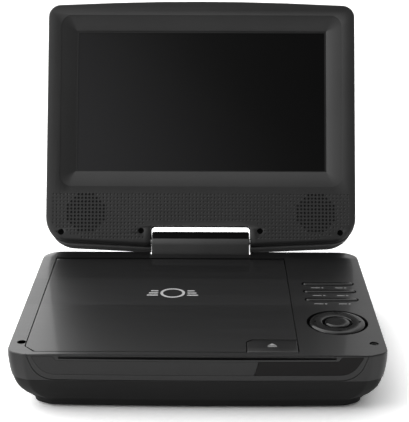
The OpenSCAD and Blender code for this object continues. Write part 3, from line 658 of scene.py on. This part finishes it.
lowerSkin = solid(lambda bm: addLoft(bm, [ring(s, e, e, deckTop - d) for s, e, d in base["lower"]]),
                  "lowerBody", basePlace, shellSatin, 50)
hollowRings = [ring(s, e, e, z)
               for s, e, z in ((4.1, 3.05, 20), (5.2, 3.6, 14), (7.7, 4.85, 10), (10.4, 6.2, 6.8))]
carve(lowerSkin, solid(lambda bm: addLoft(bm, hollowRings), "hollow", basePlace, shellSatin))
carve(lowerSkin,
      solid(lambda bm: addSlab(bm, rect(-79, 79, 11, 143, 4), 2, 9), "opening", basePlace, shellSatin))
soften(lowerSkin, 0.2, 2, 40)
place(lowerSkin, "base", "shell", "lower_body")

bottom = {"inset": (11.6, 6.6), "slots": 8}


def coverBody(bm):
    side, end = bottom["inset"]
    addLoft(bm, [[(x, y, z) for x, y in basePlan(side + d, end + d, end + d)]
                 for d, z in ((0.5, 1.2), (0.15, 1.35), (0, 1.7), (0, 5.2))])


def coverCuts(bm):
    doorLow, doorHigh = span("battery_door", basePlace)
    addSlab(bm, rect(doorLow.x - 0.3, doorHigh.x + 0.3, doorLow.y - 0.3, doorHigh.y + 0.3, 1), 0, 4)
    for k in range(bottom["slots"]):
        addSlab(bm, pill(51, 41 + 3 * k, 30, 1.6, 6), 0, 4)
    for x in (-76, 76):
        for y in (15, 139):
            addSlab(bm, circle(x, y, 2.9, 32), 0, 2.7)


cover = solid(coverBody, "bottomCover", basePlace, shellSatin)
carve(cover, solid(lambda bm: addLoft(bm, [[(x, y, z) for x, y in basePlan(13.4, 8.4, 8.4)]
                                           for z in (3, 7)]), "inside", basePlace, shellSatin))
carve(cover, solid(coverCuts, "cuts", basePlace, shellSatin))
soften(cover, 0.15, 2)
place(cover, "base", "shell", "bottom_cover")


def doorShape(bm):
    low, high = span("battery_door", basePlace)
    addSlab(bm, rect(low.x, high.x, low.y, high.y, 0.8), low.z, high.z, "z", 0.3)


def doorCuts(bm):
    low, high = span("battery_door", basePlace)
    for k in range(5):
        addSlab(bm, pill((low.x + high.x) / 2, high.y - 6 - 2 * k, 16 - 2 * k, 0.9, 6), low.z - 1,
                low.z + 0.5)


door = solid(doorShape, "batteryDoor", basePlace, shellSatin)
carve(door, solid(doorCuts, "grip", basePlace, shellSatin))
soften(door, 0.1)
place(door, "base", "shell", "battery_door")


def feet(bm):
    for x in (-66, 66):
        for y in (20, 134):
            addTurned(bm, [(0, 0.25), (3.2, 0.25), (3.5, 0), (4.6, 0), (5, 0.4), (5, 1.2), (0, 1.2)],
                      (x, y, 0))


place(solid(feet, "rubberFeet", basePlace, rubber), "base", "rubber", "rubber_feet")


def crossHead(bm, at, r, low, high, axis, face):  # a screw head with a cross-shaped recess
    outline = []
    w, reach = r * 0.16, r * 0.62
    for k in range(4):
        a = pi / 2 * k
        for u, v in ((reach, -w), (reach, w), (w * 1.3, w * 1.3)):
            outline.append((u * cos(a) - v * sin(a), u * sin(a) + v * cos(a)))
    depth = (high - low) * 0.5 * (1 if face > 0 else -1)
    top, back = (high, low) if face > 0 else (low, high)
    rimTop = top - 0.18 * face

    def put(points, level):
        if axis == "z":
            return [bm.verts.new((at[0] + u, at[1] + v, level)) for u, v in points]
        return [bm.verts.new((at[0] + u, level, at[1] + v)) for u, v in points]

    count = 24
    ringOut = circle(0, 0, r, count, pi / count)
    ringIn = circle(0, 0, r * 0.86, count, pi / count)
    rows = [put(ringOut, back), put(ringOut, rimTop), put(ringIn, top)]
    for a, b in zip(rows, rows[1:]):
        for i in range(count):
            j = (i + 1) % count
            bm.faces.new((a[i], a[j], b[j], b[i]))
    bm.faces.new(rows[0][::-1])
    edge, floor = put(outline, top), put([(u * 0.9, v * 0.9) for u, v in outline], top - depth)
    rim = [bm.edges.get((rows[-1][i], rows[-1][(i + 1) % count])) for i in range(count)]
    slotEdges = [bm.edges.new((edge[i], edge[(i + 1) % len(edge)])) for i in range(len(edge))]
    bmesh.ops.triangle_fill(bm, use_beauty=True, edges=rim + slotEdges)
    for i in range(len(edge)):
        j = (i + 1) % len(edge)
        bm.faces.new((edge[i], edge[j], floor[j], floor[i]))
    bm.faces.new(floor)


def baseScrewShapes(bm):
    for x in (-76, 76):
        for y in (15, 139):
            crossHead(bm, (x, y), 2.6, 1.5, 2.7, "z", -1)
            addSlab(bm, circle(x, y, 1.4, 20), 2.7, 11.2, "z", 0.3)


place(solid(baseScrewShapes, "baseScrews", basePlace, steel), "base", "steel", "base_screws")


def deckScrewShapes(bm):
    for side in (-1, 1):
        crossHead(bm, (side * 89, 16), 1.95, deckTop - 1.3, deckTop - 0.5, "z", 1)


place(solid(deckScrewShapes, "deckScrews", basePlace, darkSteel), "base", "steel", "deck_screws")
print("base made")

lid = {"corner": 5.4, "thick": 1.8, "nose": 2.6, "openGap": 0.4}
lidLow, lidHigh = span("disc_lid", basePlace)
openLow, openHigh = span("open_key", basePlace)
lidAxis = Vector(joints["lid_open"]["pos_m"]) / mm
axisY = lidAxis.y - frontY / mm


def lidBody(bm):
    keyLeft, keyRear = openLow.x - lid["openGap"], openHigh.y + lid["openGap"]
    outline = fillet([(lidLow.x, lidLow.y + lid["corner"] + 0.6, 1.2),
                      (lidLow.x + lid["corner"], lidLow.y, 1.2), (keyLeft, lidLow.y, 0.5),
                      (keyLeft, keyRear - 3, 0.6), (keyLeft + 3, keyRear, 0.6), (lidHigh.x, keyRear, 0.5),
                      (lidHigh.x, axisY, 0), (lidLow.x, axisY, 0)], 4)
    addSlab(bm, outline, deckTop - lid["thick"], deckTop - 0.02)


def lidNose(bm):
    profile = [(axisY + lid["nose"] * cos(a), lidAxis.z + lid["nose"] * 0.995 * sin(a))
               for a in [pi * k / 14 - pi / 2 for k in range(15)]]
    profile += [(axisY - 2.3, deckTop - 0.02), (axisY - 2.6, deckTop - 0.4),
                (axisY - lid["nose"], lidAxis.z - 0.2), (axisY - 1.6, lidAxis.z - 1.9)]
    addSlab(bm, profile, lidLow.x, lidHigh.x, "x", 0.15)


def lidCuts(bm):
    for x in (-60, 24):
        addSlab(bm, rect(axisY - 1.7, axisY + 4, lidAxis.z - 4, lidAxis.z + 0.4), x - 3, x + 3, "x")


lidPiece = solid(lidBody, "discLid", basePlace, lidGloss)
carve(lidPiece, solid(lidNose, "nose", basePlace, lidGloss), operation="UNION")
carve(lidPiece, solid(lidCuts, "lugPockets", basePlace, lidGloss))
soften(lidPiece, 0.28, 3)
place(lidPiece, "disc_lid", "deck", "disc_lid")


def linerShape(bm):  # pad under the lid: a stepped ring with radial ribs, and the catch
    low, high = span("lid_liner", basePlace)
    disc = middle("turntable_hub", basePlace)
    top = deckTop - lid["thick"]
    profile = [(20, top), (20, top - 0.6), (20.5, top - 0.8), (23, top - 0.8), (23.4, top - 0.45),
               (52.5, top - 0.45), (53, top - 0.8), (56.6, top - 0.8), (57, top - 0.5), (57, top), (20, top)]
    addTurned(bm, profile, (disc.x, disc.y - 2, 0), "z", 72)
    for k in range(24):
        a = 2 * pi * k / 24
        c, s = cos(a), sin(a)
        corners = [(disc.x + c * u - s * v, disc.y - 2 + s * u + c * v)
                   for u, v in ((23, -0.4), (53, -0.4), (53, 0.4), (23, 0.4))]
        addSlab(bm, corners, top - 0.75, top - 0.3)
    addSlab(bm, rect(21.8, 23, 9.8, 14.2, 0.3), 25, top, "z")
    addSlab(bm, [(21.8, 25), (23.4, 25), (24, 25.5), (24, 26), (21.8, 26)], 9.8, 14.2, "y")


place(solid(linerShape, "lidLiner", basePlace, greyPlastic), "disc_lid", "grey_plastic", "lid_liner")


def openShape(bm):
    outline = fillet([(openLow.x, openLow.y, 0.6), (openHigh.x, openLow.y, 0.6),
                      (openHigh.x, openHigh.y, 0.6), (openLow.x + 2.9, openHigh.y, 0.6),
                      (openLow.x, openHigh.y - 2.9, 0.6)], 4)
    addSlab(bm, outline, deckTop - 1.6, deckTop, "z", 0.35)
    addSlab(bm, rect(36, 42, 9, 15, 0.5), openLow.z, deckTop - 1.3, "z", 0.3)


place(solid(openShape, "openKey", basePlace, lidGloss), "open_key", "key", "open_key")

openGlyph = {"x": 37.5, "y": 13, "wide": 4.6, "tall": 2.6, "bar": 0.8}


def glyphShape(bm):  # triangle over a bar
    g = openGlyph
    addSlab(bm, [(g["x"] - g["wide"] / 2, g["y"]), (g["x"] + g["wide"] / 2, g["y"]),
                 (g["x"], g["y"] + g["tall"])], deckTop - 0.1, deckTop - 0.001)
    addSlab(bm, rect(g["x"] - g["wide"] / 2, g["x"] + g["wide"] / 2, g["y"] - 0.8 - g["bar"], g["y"] - 0.8),
            deckTop - 0.1, deckTop - 0.001)


place(solid(glyphShape, "openMark", Matrix.Translation((0, 0, 0.00002)) @ basePlace, keyMark),
      "open_key", "key")

emblem = {"x": -14.8, "y": 83.3, "r": 6.9, "bars": 3}


def emblemShape(bm):  # plain ring and three short bars
    e = emblem
    z0, z1 = deckTop - 0.1, deckTop - 0.001
    outer, inner = circle(e["x"], e["y"], e["r"], 48), circle(e["x"], e["y"], e["r"] - 1.5, 48)
    addSides(bm, [[(x, y, z) for x, y in points]
                  for points, z in ((outer, z0), (outer, z1), (inner, z1), (inner, z0))], True)
    for side in (-1, 1):
        for k in range(e["bars"]):
            x, y = e["x"] + side * (11.2 - 0.5 * k), e["y"] + 3.2 * (k - 1)
            addSlab(bm, pill(x, y, 6.4 - k * 1.0, 1.5, 6), z0, z1)


markPlace = Matrix.Translation((0, 0, 0.00001)) @ basePlace  # a hair above the surface
place(solid(emblemShape, "lidMark", markPlace, paleMark), "disc_lid", "deck")
print("lid made")

keys = {"bar": (28.3, 3.9), "ring": (14.7, 7.9), "enter": 6.5, "labelGap": 6.2}
nav = middle("nav_ring", basePlace)


def barShape(k):
    low, high = span(f"bar_key_{k}", basePlace)
    cx, cy = (low.x + high.x) / 2, (low.y + high.y) / 2

    def build(bm):
        outline = pill(cx, cy, *keys["bar"])
        top = high.z
        rings = [(0, top - 2.3), (0, top - 0.75), (0.12, top - 0.42), (0.4, top - 0.16), (0.8, top - 0.04),
                 (1.3, top)]
        addLoft(bm, [[(x, y, z) for x, y in shrink(outline, d)] for d, z in rings])
        addSlab(bm, rect(cx - 1.4, cx + 1.4, cy - 1.9, cy + 1.9, 0.3), low.z + 2.1, top - 2.2, "z")
        for s in (-1, 1):
            addSlab(bm, circle(cx + s * 10, cy, 1.2, 20), low.z, top - 2.2, "z", 0.2)
        addSlab(bm, circle(cx, 28.2, 0.7, 20), cy - 3.5, cy + 3.5, "y", 0.15)
    return build


def labelShape(k):
    low, high = span(f"bar_key_{k}", basePlace)
    cy = (low.y + high.y) / 2 - keys["labelGap"]

    def build(bm):
        z0, z1 = deckTop - 0.1, deckTop - 0.001
        for x, wide in ((66.4, 6.4), (79.6, 5.6)):
            addSlab(bm, pill(x - 0.8, cy, wide * 0.8, 0.75, 5), z0, z1)
            tip = x + wide * 0.5 + 0.4
            addSlab(bm, [(tip - 0.9, cy - 0.8), (tip + 0.5, cy), (tip - 0.9, cy + 0.8)], z0, z1)
    return build


for k in (1, 2, 3):
    place(solid(barShape(k), f"barKey{k}", basePlace, keyGloss, 30), f"bar_key_{k}", "key", f"bar_key_{k}")
    place(solid(labelShape(k), f"keyLabels{k}", markPlace, keyMark), "base", "deck")

ringLow, ringHigh = span("nav_ring", basePlace)
enterLow, enterHigh = span("enter_key", basePlace)


def ringShape(bm):
    outer, inner = keys["ring"]
    top = ringHigh.z
    profile = [(inner, top - 2.4), (inner, top - 0.7), (inner + 0.25, top - 0.35), (inner + 0.8, top - 0.22),
               (11.4, top - 0.1), (12.8, top), (13.7, top - 0.12), (14.2, top - 0.35), (14.55, top - 0.75),
               (outer, top - 1.2), (outer, top - 2.4), (inner, top - 2.4)]
    addTurned(bm, profile, (nav.x, nav.y, 0), "z", 72)
    for s in (-1, 1):
        addSlab(bm, rect(nav.x - 1.6, nav.x + 1.6, nav.y + s * 12 - 0.8, nav.y + s * 12 + 0.8), 27,
                top - 2.3)
        for t in (-1, 1):
            addSlab(bm, circle(nav.x + s * 8.8, nav.y + t * 8.8, 1.2, 16), ringLow.z + 0.3, top - 2.3)


def ringMarks(bm):
    top = ringHigh.z
    z0, z1 = top - 0.3, top - 0.02
    for a in (0, 90, 180, 270):
        c, s = cos(radians(a)), sin(radians(a))
        tri = [(10.9, -1.5), (12.9, 0), (10.9, 1.5), (11.6, 0)]
        addSlab(bm, [(nav.x + c * u - s * v, nav.y + s * u + c * v) for u, v in tri], z0, z1)


def enterShape(bm):
    top = enterHigh.z
    r = keys["enter"]
    profile = [(0, enterLow.z), (2.3, enterLow.z), (2.5, enterLow.z + 0.2), (2.5, 28.8), (7.7, 28.8),
               (7.7, 29.5), (r, 29.5), (r, top - 0.7), (r - 0.2, top - 0.35), (r - 0.7, top - 0.08),
               (r - 1.4, top), (3, top - 0.12), (0, top - 0.16)]
    addTurned(bm, profile, (nav.x, nav.y, 0), "z", 56)


place(solid(ringShape, "navRing", basePlace, keyGloss, 40), "nav_ring", "key", "nav_ring")
place(solid(ringMarks, "navMarks", basePlace, deepBlack), "nav_ring", "key")
place(solid(enterShape, "enterKey", basePlace, keyGloss, 40), "enter_key", "key", "enter_key")
print("keys made")

ports = {"mouth": 93.6, "z": 22}


def jackShape(node, half, tall, rim, bore, pin):
    c = middle(node, basePlace)
    low, high = span(node, basePlace)

    def build(bm):
        m, z = ports["mouth"], ports["z"]
        addSlab(bm, rect(c.y - half, c.y + half, z - tall, z + tall, 0.5), low.x, 91, "x", 0.2)
        profile = [(bore, -m + low.x + 2), (bore, -0.5), (bore + 0.35, -0.08), (bore + 0.6, 0),
                   (rim - 0.25, 0), (rim, -0.25), (rim, -m + 90.5), (bore, -m + low.x + 2)]
        addTurned(bm, profile, (m, c.y, z), "x", 40)
        if pin:
            addSlab(bm, circle(c.y, z, 0.85, 20), m - 10, m - 1.5, "x", 0.3)
    return build


for kind, *sizes in (("phone", 3.5, 3.2, 3.0, 1.8, False), ("video", 3.5, 3.2, 3.0, 1.8, False),
                     ("charge", 4.0, 3.8, 3.6, 2.75, True)):
    place(solid(jackShape(f"{kind}_jack", *sizes), f"{kind}Jack", basePlace, blackPlastic),
          "base", "black_plastic", f"{kind}_jack")

wheel = {"teeth": 40, "r": 8, "hub": 1.25, "notch": 0.35}


def wheelShape(bm):
    low, high = span("volume_wheel", basePlace)
    cx, cy = (low.x + high.x) / 2, (low.y + high.y) / 2
    steps = wheel["teeth"] * 4
    rims = [wheel["r"] - wheel["notch"] * (k % 4 in (0, 3)) for k in range(steps)]
    outline = [(cx + rim * cos(2 * pi * k / steps), cy + rim * sin(2 * pi * k / steps))
               for k, rim in enumerate(rims)]
    mid, hub = circle(cx, cy, wheel["r"] * 0.86, steps), circle(cx, cy, wheel["hub"], steps)
    z0, z1 = low.z, high.z
    stack = [(hub, z0), (mid, z0), (outline, z0 + 0.3), (outline, z1 - 0.3), (mid, z1), (hub, z1)]
    addSides(bm, [[(x, y, z) for x, y in points] for points, z in stack], True)


place(solid(wheelShape, "volumeWheel", basePlace, blackPlastic, 30), "volume_wheel", "black_plastic",
      "volume_wheel")


def knobShape(bm):
    low, high = span("power_knob", basePlace)
    cy, cz = (low.y + high.y) / 2, (low.z + high.z) / 2
    addSlab(bm, rect(cy - 3, cy + 3, low.z, high.z, 0.3), -90.8, high.x, "x", 0.15)
    profile = [(cy + 2.4, -90.7), (cy - 2.4, -90.7)]
    profile += [(cy - 2.4 + 0.4 * k, low.x + (0.35 if k % 2 else 0)) for k in range(13)]
    addLoft(bm, [[(x, y, z) for y, x in profile] for z in (cz - 1.3, cz + 1.3)])


place(solid(knobShape, "powerKnob", basePlace, greyPlastic, 20), "power_knob", "black_plastic",
      "power_knob")
print("side controls made")

barrel = {"r": 6.2, "inner": 6.05, "round": 0.9, "strip": (50, 142)}


def barrelShape(bm):
    low, high = span("hinge_cover", basePlace)
    cy, cz = (low.y + high.y) / 2, high.z - barrel["r"]
    arc = [(cy + barrel["r"] * cos(a), cz + barrel["inner"] * sin(a))
           for a in [pi * k / 28 for k in range(29)]]
    rear = [(high.y - 0.8, low.z), (high.y, low.z + 0.8)]
    front = [(low.y, 23.2), (low.y + 2, 22.8), (low.y + 2, 20.1), (154.2, 20.1), (154.2, low.z)]
    addSlab(bm, arc + front + rear, low.x, high.x, "x", barrel["round"])


def shadeStripShape(bm):  # black strip let into the top of the barrel: painted shade, a dark sheet standing in for the shade on the barrel's top
    low, high = span("hinge_cover", basePlace)
    cy, cz = (low.y + high.y) / 2, high.z - barrel["r"]
    angles = [radians(barrel["strip"][0] + (barrel["strip"][1] - barrel["strip"][0]) * k / 10)
              for k in range(11)]
    outer = [(cy + barrel["r"] * cos(a), cz + barrel["r"] * sin(a)) for a in angles]
    inner = [(cy + (barrel["r"] - 0.7) * cos(a), cz + (barrel["r"] - 0.7) * sin(a))
             for a in reversed(angles)]
    addSlab(bm, outer + inner, low.x + 0.6, high.x - 0.6, "x", 0.1)


def barrelHollow(bm):
    low, high = span("hinge_cover", basePlace)
    cy, cz = (low.y + high.y) / 2, high.z - barrel["r"]
    r = 4.7
    outline = [(cy + r * cos(a), cz + r * sin(a)) for a in [pi * k / 16 for k in range(17)]]
    outline += [(cy - r, low.z + 1.5), (cy + r, low.z + 1.5)]
    addSlab(bm, outline, low.x + 1.5, high.x - 1.5, "x")
    addSlab(bm, circle(cy, cz, 2.1, 32), low.x - 3, high.x + 3, "x")


barrelPiece = solid(barrelShape, "hingeCover", basePlace, hingeSatin, 40)
carve(barrelPiece, solid(barrelHollow, "hollow", basePlace, hingeSatin), smooth=40)
soften(barrelPiece, 0.12, 2, 45)
place(barrelPiece, "base", "shell", "hinge_cover")
# painted shade: a black strip over the top of the hinge barrel
place(solid(shadeStripShape, "hingeShadeStrip", basePlace, deepBlack, 40), "base", "black_plastic")

screen = {
    "top": 7.5, "bottom": 15, "topBow": 2, "bowSteps": 3, "footRise": 2.6, "notchRound": 2.2,
    "frontRings": [(0.7, 2.6, 0.0), (0.35, 2.0, 0.35), (0.12, 1.4, 0.9), (0.0, 0.8, 1.8), (0.0, 0.3, 3.2),
                   (0.0, 0.0, 5.0), (0.0, 0.0, 6.8), (0.22, 0.0, 7.0)],
    "backRings": [(0.22, 0, 0.0), (0.0, 0, 0.2), (0.1, -0.3, 2.2), (0.45, -1.5, 4.4), (1.0, -3.2, 6.0),
                  (1.9, -4.6, 7.1), (3.6, -6.2, 7.8), (4.3, -6.7, 8.0)],
    "slopeWide": 9.5, "slopeDeep": 2.6, "slopeRound": 7,
    "dimplePitch": 2.2, "dimpleR": 0.66, "dimpleDeep": 0.35, "holeR": 0.72,
}
bezelLow, bezelHigh = span("screen_bezel", screenPlace)
backHigh = span("screen_back", screenPlace)[1]
panelLow, panelHigh = span("lcd_panel", screenPlace)
viewW, viewH = panelHigh.x - 4.6, (panelHigh.z - panelLow.z) / 2 - 4.6
viewZ = (panelLow.z + panelHigh.z) / 2
face = bezelLow.y
joinY = bezelHigh.y


def screenOutline(inset, lift=0.0):  # the housing seen from the front
    half, low, high = bezelHigh.x - inset, bezelLow.z + inset + lift, bezelHigh.z - inset
    s = screen
    top = [((half - 15) * k / s["bowSteps"], high - s["topBow"] * k * k / s["bowSteps"] ** 2)
           for k in range(s["bowSteps"], -s["bowSteps"] - 1, -1)]
    corners = [(half, high - 2.6, s["top"])]
    corners += [(*p, 0) for p in top]
    corners += [(-half, high - 2.6, s["top"]), (-half, low + s["footRise"] + 0.4, s["bottom"]),
                (-34, low + 0.2, 8), (34, low + 0.2, 8), (half, low + s["footRise"] + 0.4, s["bottom"])]
    return fillet(corners, 8)


def screenRings(rings, start, grow=0.0):
    return [[(x, start + d, z) for x, z in screenOutline(inset + grow, lift)] for inset, lift, d in rings]


def notchCut(bm):
    cover = span("hinge_cover", basePlace)[1].x
    wide, high = cover + 0.8, 9.6
    addSlab(bm, fillet([(-wide, -20, 0), (wide, -20, 0), (wide, high, screen["notchRound"]),
                        (-wide, high, screen["notchRound"])], 6), -20, 30, "y")


def viewRect(grow, r=0.0, steps=5):  # the picture's edge, grown
    return rect(-viewW - grow, viewW + grow, viewZ - viewH - grow, viewZ + viewH + grow, r, steps)


def recessCut(bm):
    s = screen
    w, d = s["slopeWide"], s["slopeDeep"]

    def frameRing(grow, r, y):
        return [(x, y, z) for x, z in viewRect(grow, r, 8)]
    addLoft(bm, [frameRing(w, s["slopeRound"], face - 1), frameRing(w, s["slopeRound"], face + 0.3),
                 frameRing(w - 0.5, s["slopeRound"] - 0.4, face + 0.42),
                 frameRing(0.35, 0.35, face + d - 0.1), frameRing(0.0, 0.05, face + d + 0.25),
                 frameRing(0.0, 0.05, face + 6)])


def bezelHollow(bm):
    addLoft(bm, screenRings([(1.8, 2, 0), (1.8, 0.6, 3), (1.8, 0, 8)], face + 1.9))


def bezelKeep(bm):  # solid left inside the hollow, round the picture
    s = screen
    w = s["slopeWide"] + 1.6
    addLoft(bm, [[(x, y, z) for x, z in viewRect(g, 6)]
                 for g, y in ((w, face + 0.5), (w, face + 2), (1.6, face + s["slopeDeep"] + 1.4))])


def gridPoints(open):  # the grid's points: through-holes at the speakers if open, or the dimples round them
    p = screen["dimplePitch"]
    for k in range(-41, 42):
        for j in range(0, 13):
            x, z = p * k, 2.4 + p * j
            dx, dz = abs(abs(x) - 70.4), abs(z - 17.8)
            hole = dx < 11.2 and dz < 11.2 and dx + dz < 17
            edge = abs(x) - 74
            corner = edge > 0 and z < 3.6 + 13 * (1 - sqrt(max(0, 1 - (edge / 19) ** 2)))
            nearScrew = any(hypot(abs(x) - sx, z - sz) < 3.1 for sx, sz in ((85.4, 5.7), (36.4, 6.6)))
            nearNotch = abs(x) < 34 and z < 12.4
            if not (corner or nearScrew or nearNotch) and hole == open:
                yield x, z


def dots(points, r, low, high, sides=8, tip=None):
    def build(bm):
        for x, z in points:
            rings = [(r, low), (r, high)]
            if tip is not None:
                rings = [(r * 1.12, low), (r, high - 0.15), (tip, high)]
            addLoft(bm, [[(u, y, v) for u, v in circle(x, z, rr, sides, pi / sides)] for rr, y in rings])
    return build


bezel = solid(lambda bm: addLoft(bm, screenRings(screen["frontRings"], face)), "screenBezel", screenPlace,
              frameSatin, 40)
hollowPart = solid(bezelHollow, "hollow", screenPlace, frameSatin)
carve(hollowPart, solid(bezelKeep, "keep", screenPlace, frameSatin))
carve(bezel, hollowPart)
carve(bezel, solid(recessCut, "recess", screenPlace, frameSatin))
carve(bezel, solid(notchCut, "notch", screenPlace, frameSatin))
screwSpots = [(-85.4, 5.7), (-36.4, 6.6), (36.4, 6.6), (85.4, 5.7)]
carve(bezel, solid(dots(screwSpots, 1.8, face - 1, face + 1.6, 32), "screwHoles", screenPlace, frameSatin))
soften(bezel, 0.14, 2, 35)
bake(bezel)
dimples = dots(gridPoints(False), screen["dimpleR"], face - 0.5, face + screen["dimpleDeep"], 8, 0.45)
holes = dots(gridPoints(True), screen["holeR"], face - 0.5, face + 1.85, 8)
carve(bezel, solid(dimples, "dimples", screenPlace, frameSatin))
carve(bezel, solid(holes, "speakerHoles", screenPlace, frameSatin))
shade(bezel, 40)
place(bezel, "screen", "shell", "screen_bezel")
print("bezel made")


def bezelScrewShapes(bm):
    for x, z in screwSpots:
        crossHead(bm, (x, z), 1.65, face + 0.35, face + 1.5, "y", -1)


place(solid(bezelScrewShapes, "bezelScrews", screenPlace, deepBlack), "screen", "steel")

backPiece = solid(lambda bm: addLoft(bm, screenRings(screen["backRings"], joinY)), "screenBack",
                  screenPlace, backSatin, 40)
backHollow = screenRings([(1.9, 0, -1), (2.0, 0, 2), (2.8, 0, 5), (5.6, 0, 6.2)], joinY)
carve(backPiece, solid(lambda bm: addLoft(bm, backHollow), "hollow", screenPlace, backSatin), smooth=40)
carve(backPiece, solid(notchCut, "notch", screenPlace, backSatin), smooth=40)


def backLines(bm):  # a block of shallow slots at each side of the rear
    low, high = backHigh.y - 0.35, backHigh.y + 1
    for side in (-1, 1):
        for k in range(6):
            addSlab(bm, pill(side * 60, 24 + 3 * k, 26, 1.1, 5), low, high, "y")


carve(backPiece, solid(backLines, "lines", screenPlace, backSatin), smooth=40)
soften(backPiece, 0.15, 2, 40)
place(backPiece, "screen", "shell", "screen_back")


def glassShape(bm):
    addSlab(bm, viewRect(1.4, 0.4), face + 3.1, face + 3.9, "y", 0.15)


def panelFrameShape(bm):
    outline = rect(panelLow.x, panelHigh.x, panelLow.z, panelHigh.z, 1.2)
    addSlab(bm, outline, face + 3.9, panelHigh.y, "y", 0.3)


def panelEdgeShape(bm):  # thin black border inside the frame
    low, high = face + 2.9, face + 3.12
    outer = viewRect(0.3)
    inner = rect(-viewW + 1.0, viewW - 1.0, viewZ - viewH + 0.5, viewZ + viewH - 1.0)
    addSides(bm, [[(x, y, z) for x, z in points]
                  for points, y in ((outer, high), (outer, low), (inner, low), (inner, high))], True)


place(solid(glassShape, "lcdGlass", screenPlace, picture), "screen", "lcd", "lcd_panel")
place(solid(panelFrameShape, "lcdFrame", screenPlace, steel), "screen", "steel")
place(solid(panelEdgeShape, "lcdBorder", screenPlace, blackPlastic), "screen", "black_plastic")
print("screen made")

finishOf = {
    "steel": steel, "bright_steel": brightSteel, "board": boardGreen, "black_plastic": blackPlastic,
    "grey_plastic": greyPlastic, "rubber": rubber, "lens": lensGlass, "silicone": silicone, "battery": wrap,
    "wire": wireRed, "shell": shellSatin, "deck": gloss, "trim": trimGloss, "key": keyGloss,
    "smoked": smoked, "lcd": picture,
}
for name, node in frame["nodes"].items():
    first = next(iter(node.data.materials), None)
    slotName = first.name.split(".")[0] if first else ""
    look = finishOf.get(slotName, blackPlastic)
    node.data.materials.clear()
    node.data.materials.append(look)
print("CAD materials set")

floorMesh = bpy.data.meshes.new("floor")
bm = bmesh.new()
bmesh.ops.create_grid(bm, x_segments=2, y_segments=2, size=6)
bm.to_mesh(floorMesh)
bm.free()
floorMesh.materials.append(floorWhite)
floor = bpy.data.objects.new("floor", floorMesh)
bpy.context.scene.collection.objects.link(floor)

world = bpy.data.worlds.new("studio")  # white to the eye, and a studio with a dim front right to the object
bpy.context.scene.world = world
world.use_nodes = True
sky = world.node_tree
direction = sky.nodes.new("ShaderNodeSeparateXYZ")
sky.links.new(sky.nodes.new("ShaderNodeTexCoord").outputs["Generated"], direction.inputs[0])
across, away, up = (Term(sky, o) for o in direction.outputs)
ahead = (0 - away).ramp(-0.25, 0.55)
right = across.ramp(-0.3, 0.1)
behind = stage["rear"] - right * stage["rearDrop"]
before = stage["front"] + (1 - right) * stage["left"]
room = (1 - ahead) * behind + ahead * before
room = room * (1 - up.ramp(0.6, 1.0) * (1 - stage["top"]))
eye = Term(sky, sky.nodes.new("ShaderNodeLightPath").outputs["Is Camera Ray"])
feed(sky, sky.nodes["Background"].inputs["Strength"], eye + (1 - eye) * room)
sky.nodes["Background"].inputs["Color"].default_value = (1, 1, 1, 1)


def lamp(name, size, at, target, power, tone=(1, 1, 1)):
    data = bpy.data.lights.new(name, "AREA")
    data.shape = "RECTANGLE"
    data.size, data.size_y = size
    data.energy = power
    data.color = tone
    light = bpy.data.objects.new(name, data)
    bpy.context.scene.collection.objects.link(light)
    light.location = at
    light.rotation_euler = (Vector(target) - Vector(at)).to_track_quat("-Z", "Y").to_euler()
    return light


lamp("overhead", (2.4, 2.0), (-0.1, 0.2, 1.6), (0, 0, 0), 12)
lamp("leftSoft", (0.6, 0.8), (-1.1, -0.5, 0.7), (0, 0, 0.08), 3)

cam = {"ahead": 538.535, "aside": 6.911, "up": 249.659, "pitch": 72.048, "yaw": 0.372, "roll": 0.106,
       "lens": 102.1}
cameraData = bpy.data.cameras.new("camera")
cameraData.lens = cam["lens"]
cameraData.sensor_width = 36
cameraData.sensor_fit = "AUTO"
cameraData.clip_start = 0.01
camera = bpy.data.objects.new("camera", cameraData)
bpy.context.scene.collection.objects.link(camera)
spot = Vector((cam["aside"] * mm, frontY - cam["ahead"] * mm, (deckTop + cam["up"]) * mm))
camera.matrix_world = (Matrix.Translation(spot) @ Matrix.Rotation(radians(cam["yaw"]), 4, "Z")
                       @ Matrix.Rotation(radians(cam["pitch"]), 4, "X")
                       @ Matrix.Rotation(radians(cam["roll"]), 4, "Z"))
bpy.context.scene.camera = camera
bpy.context.scene.view_settings.view_transform = "Standard"

print("stage set")
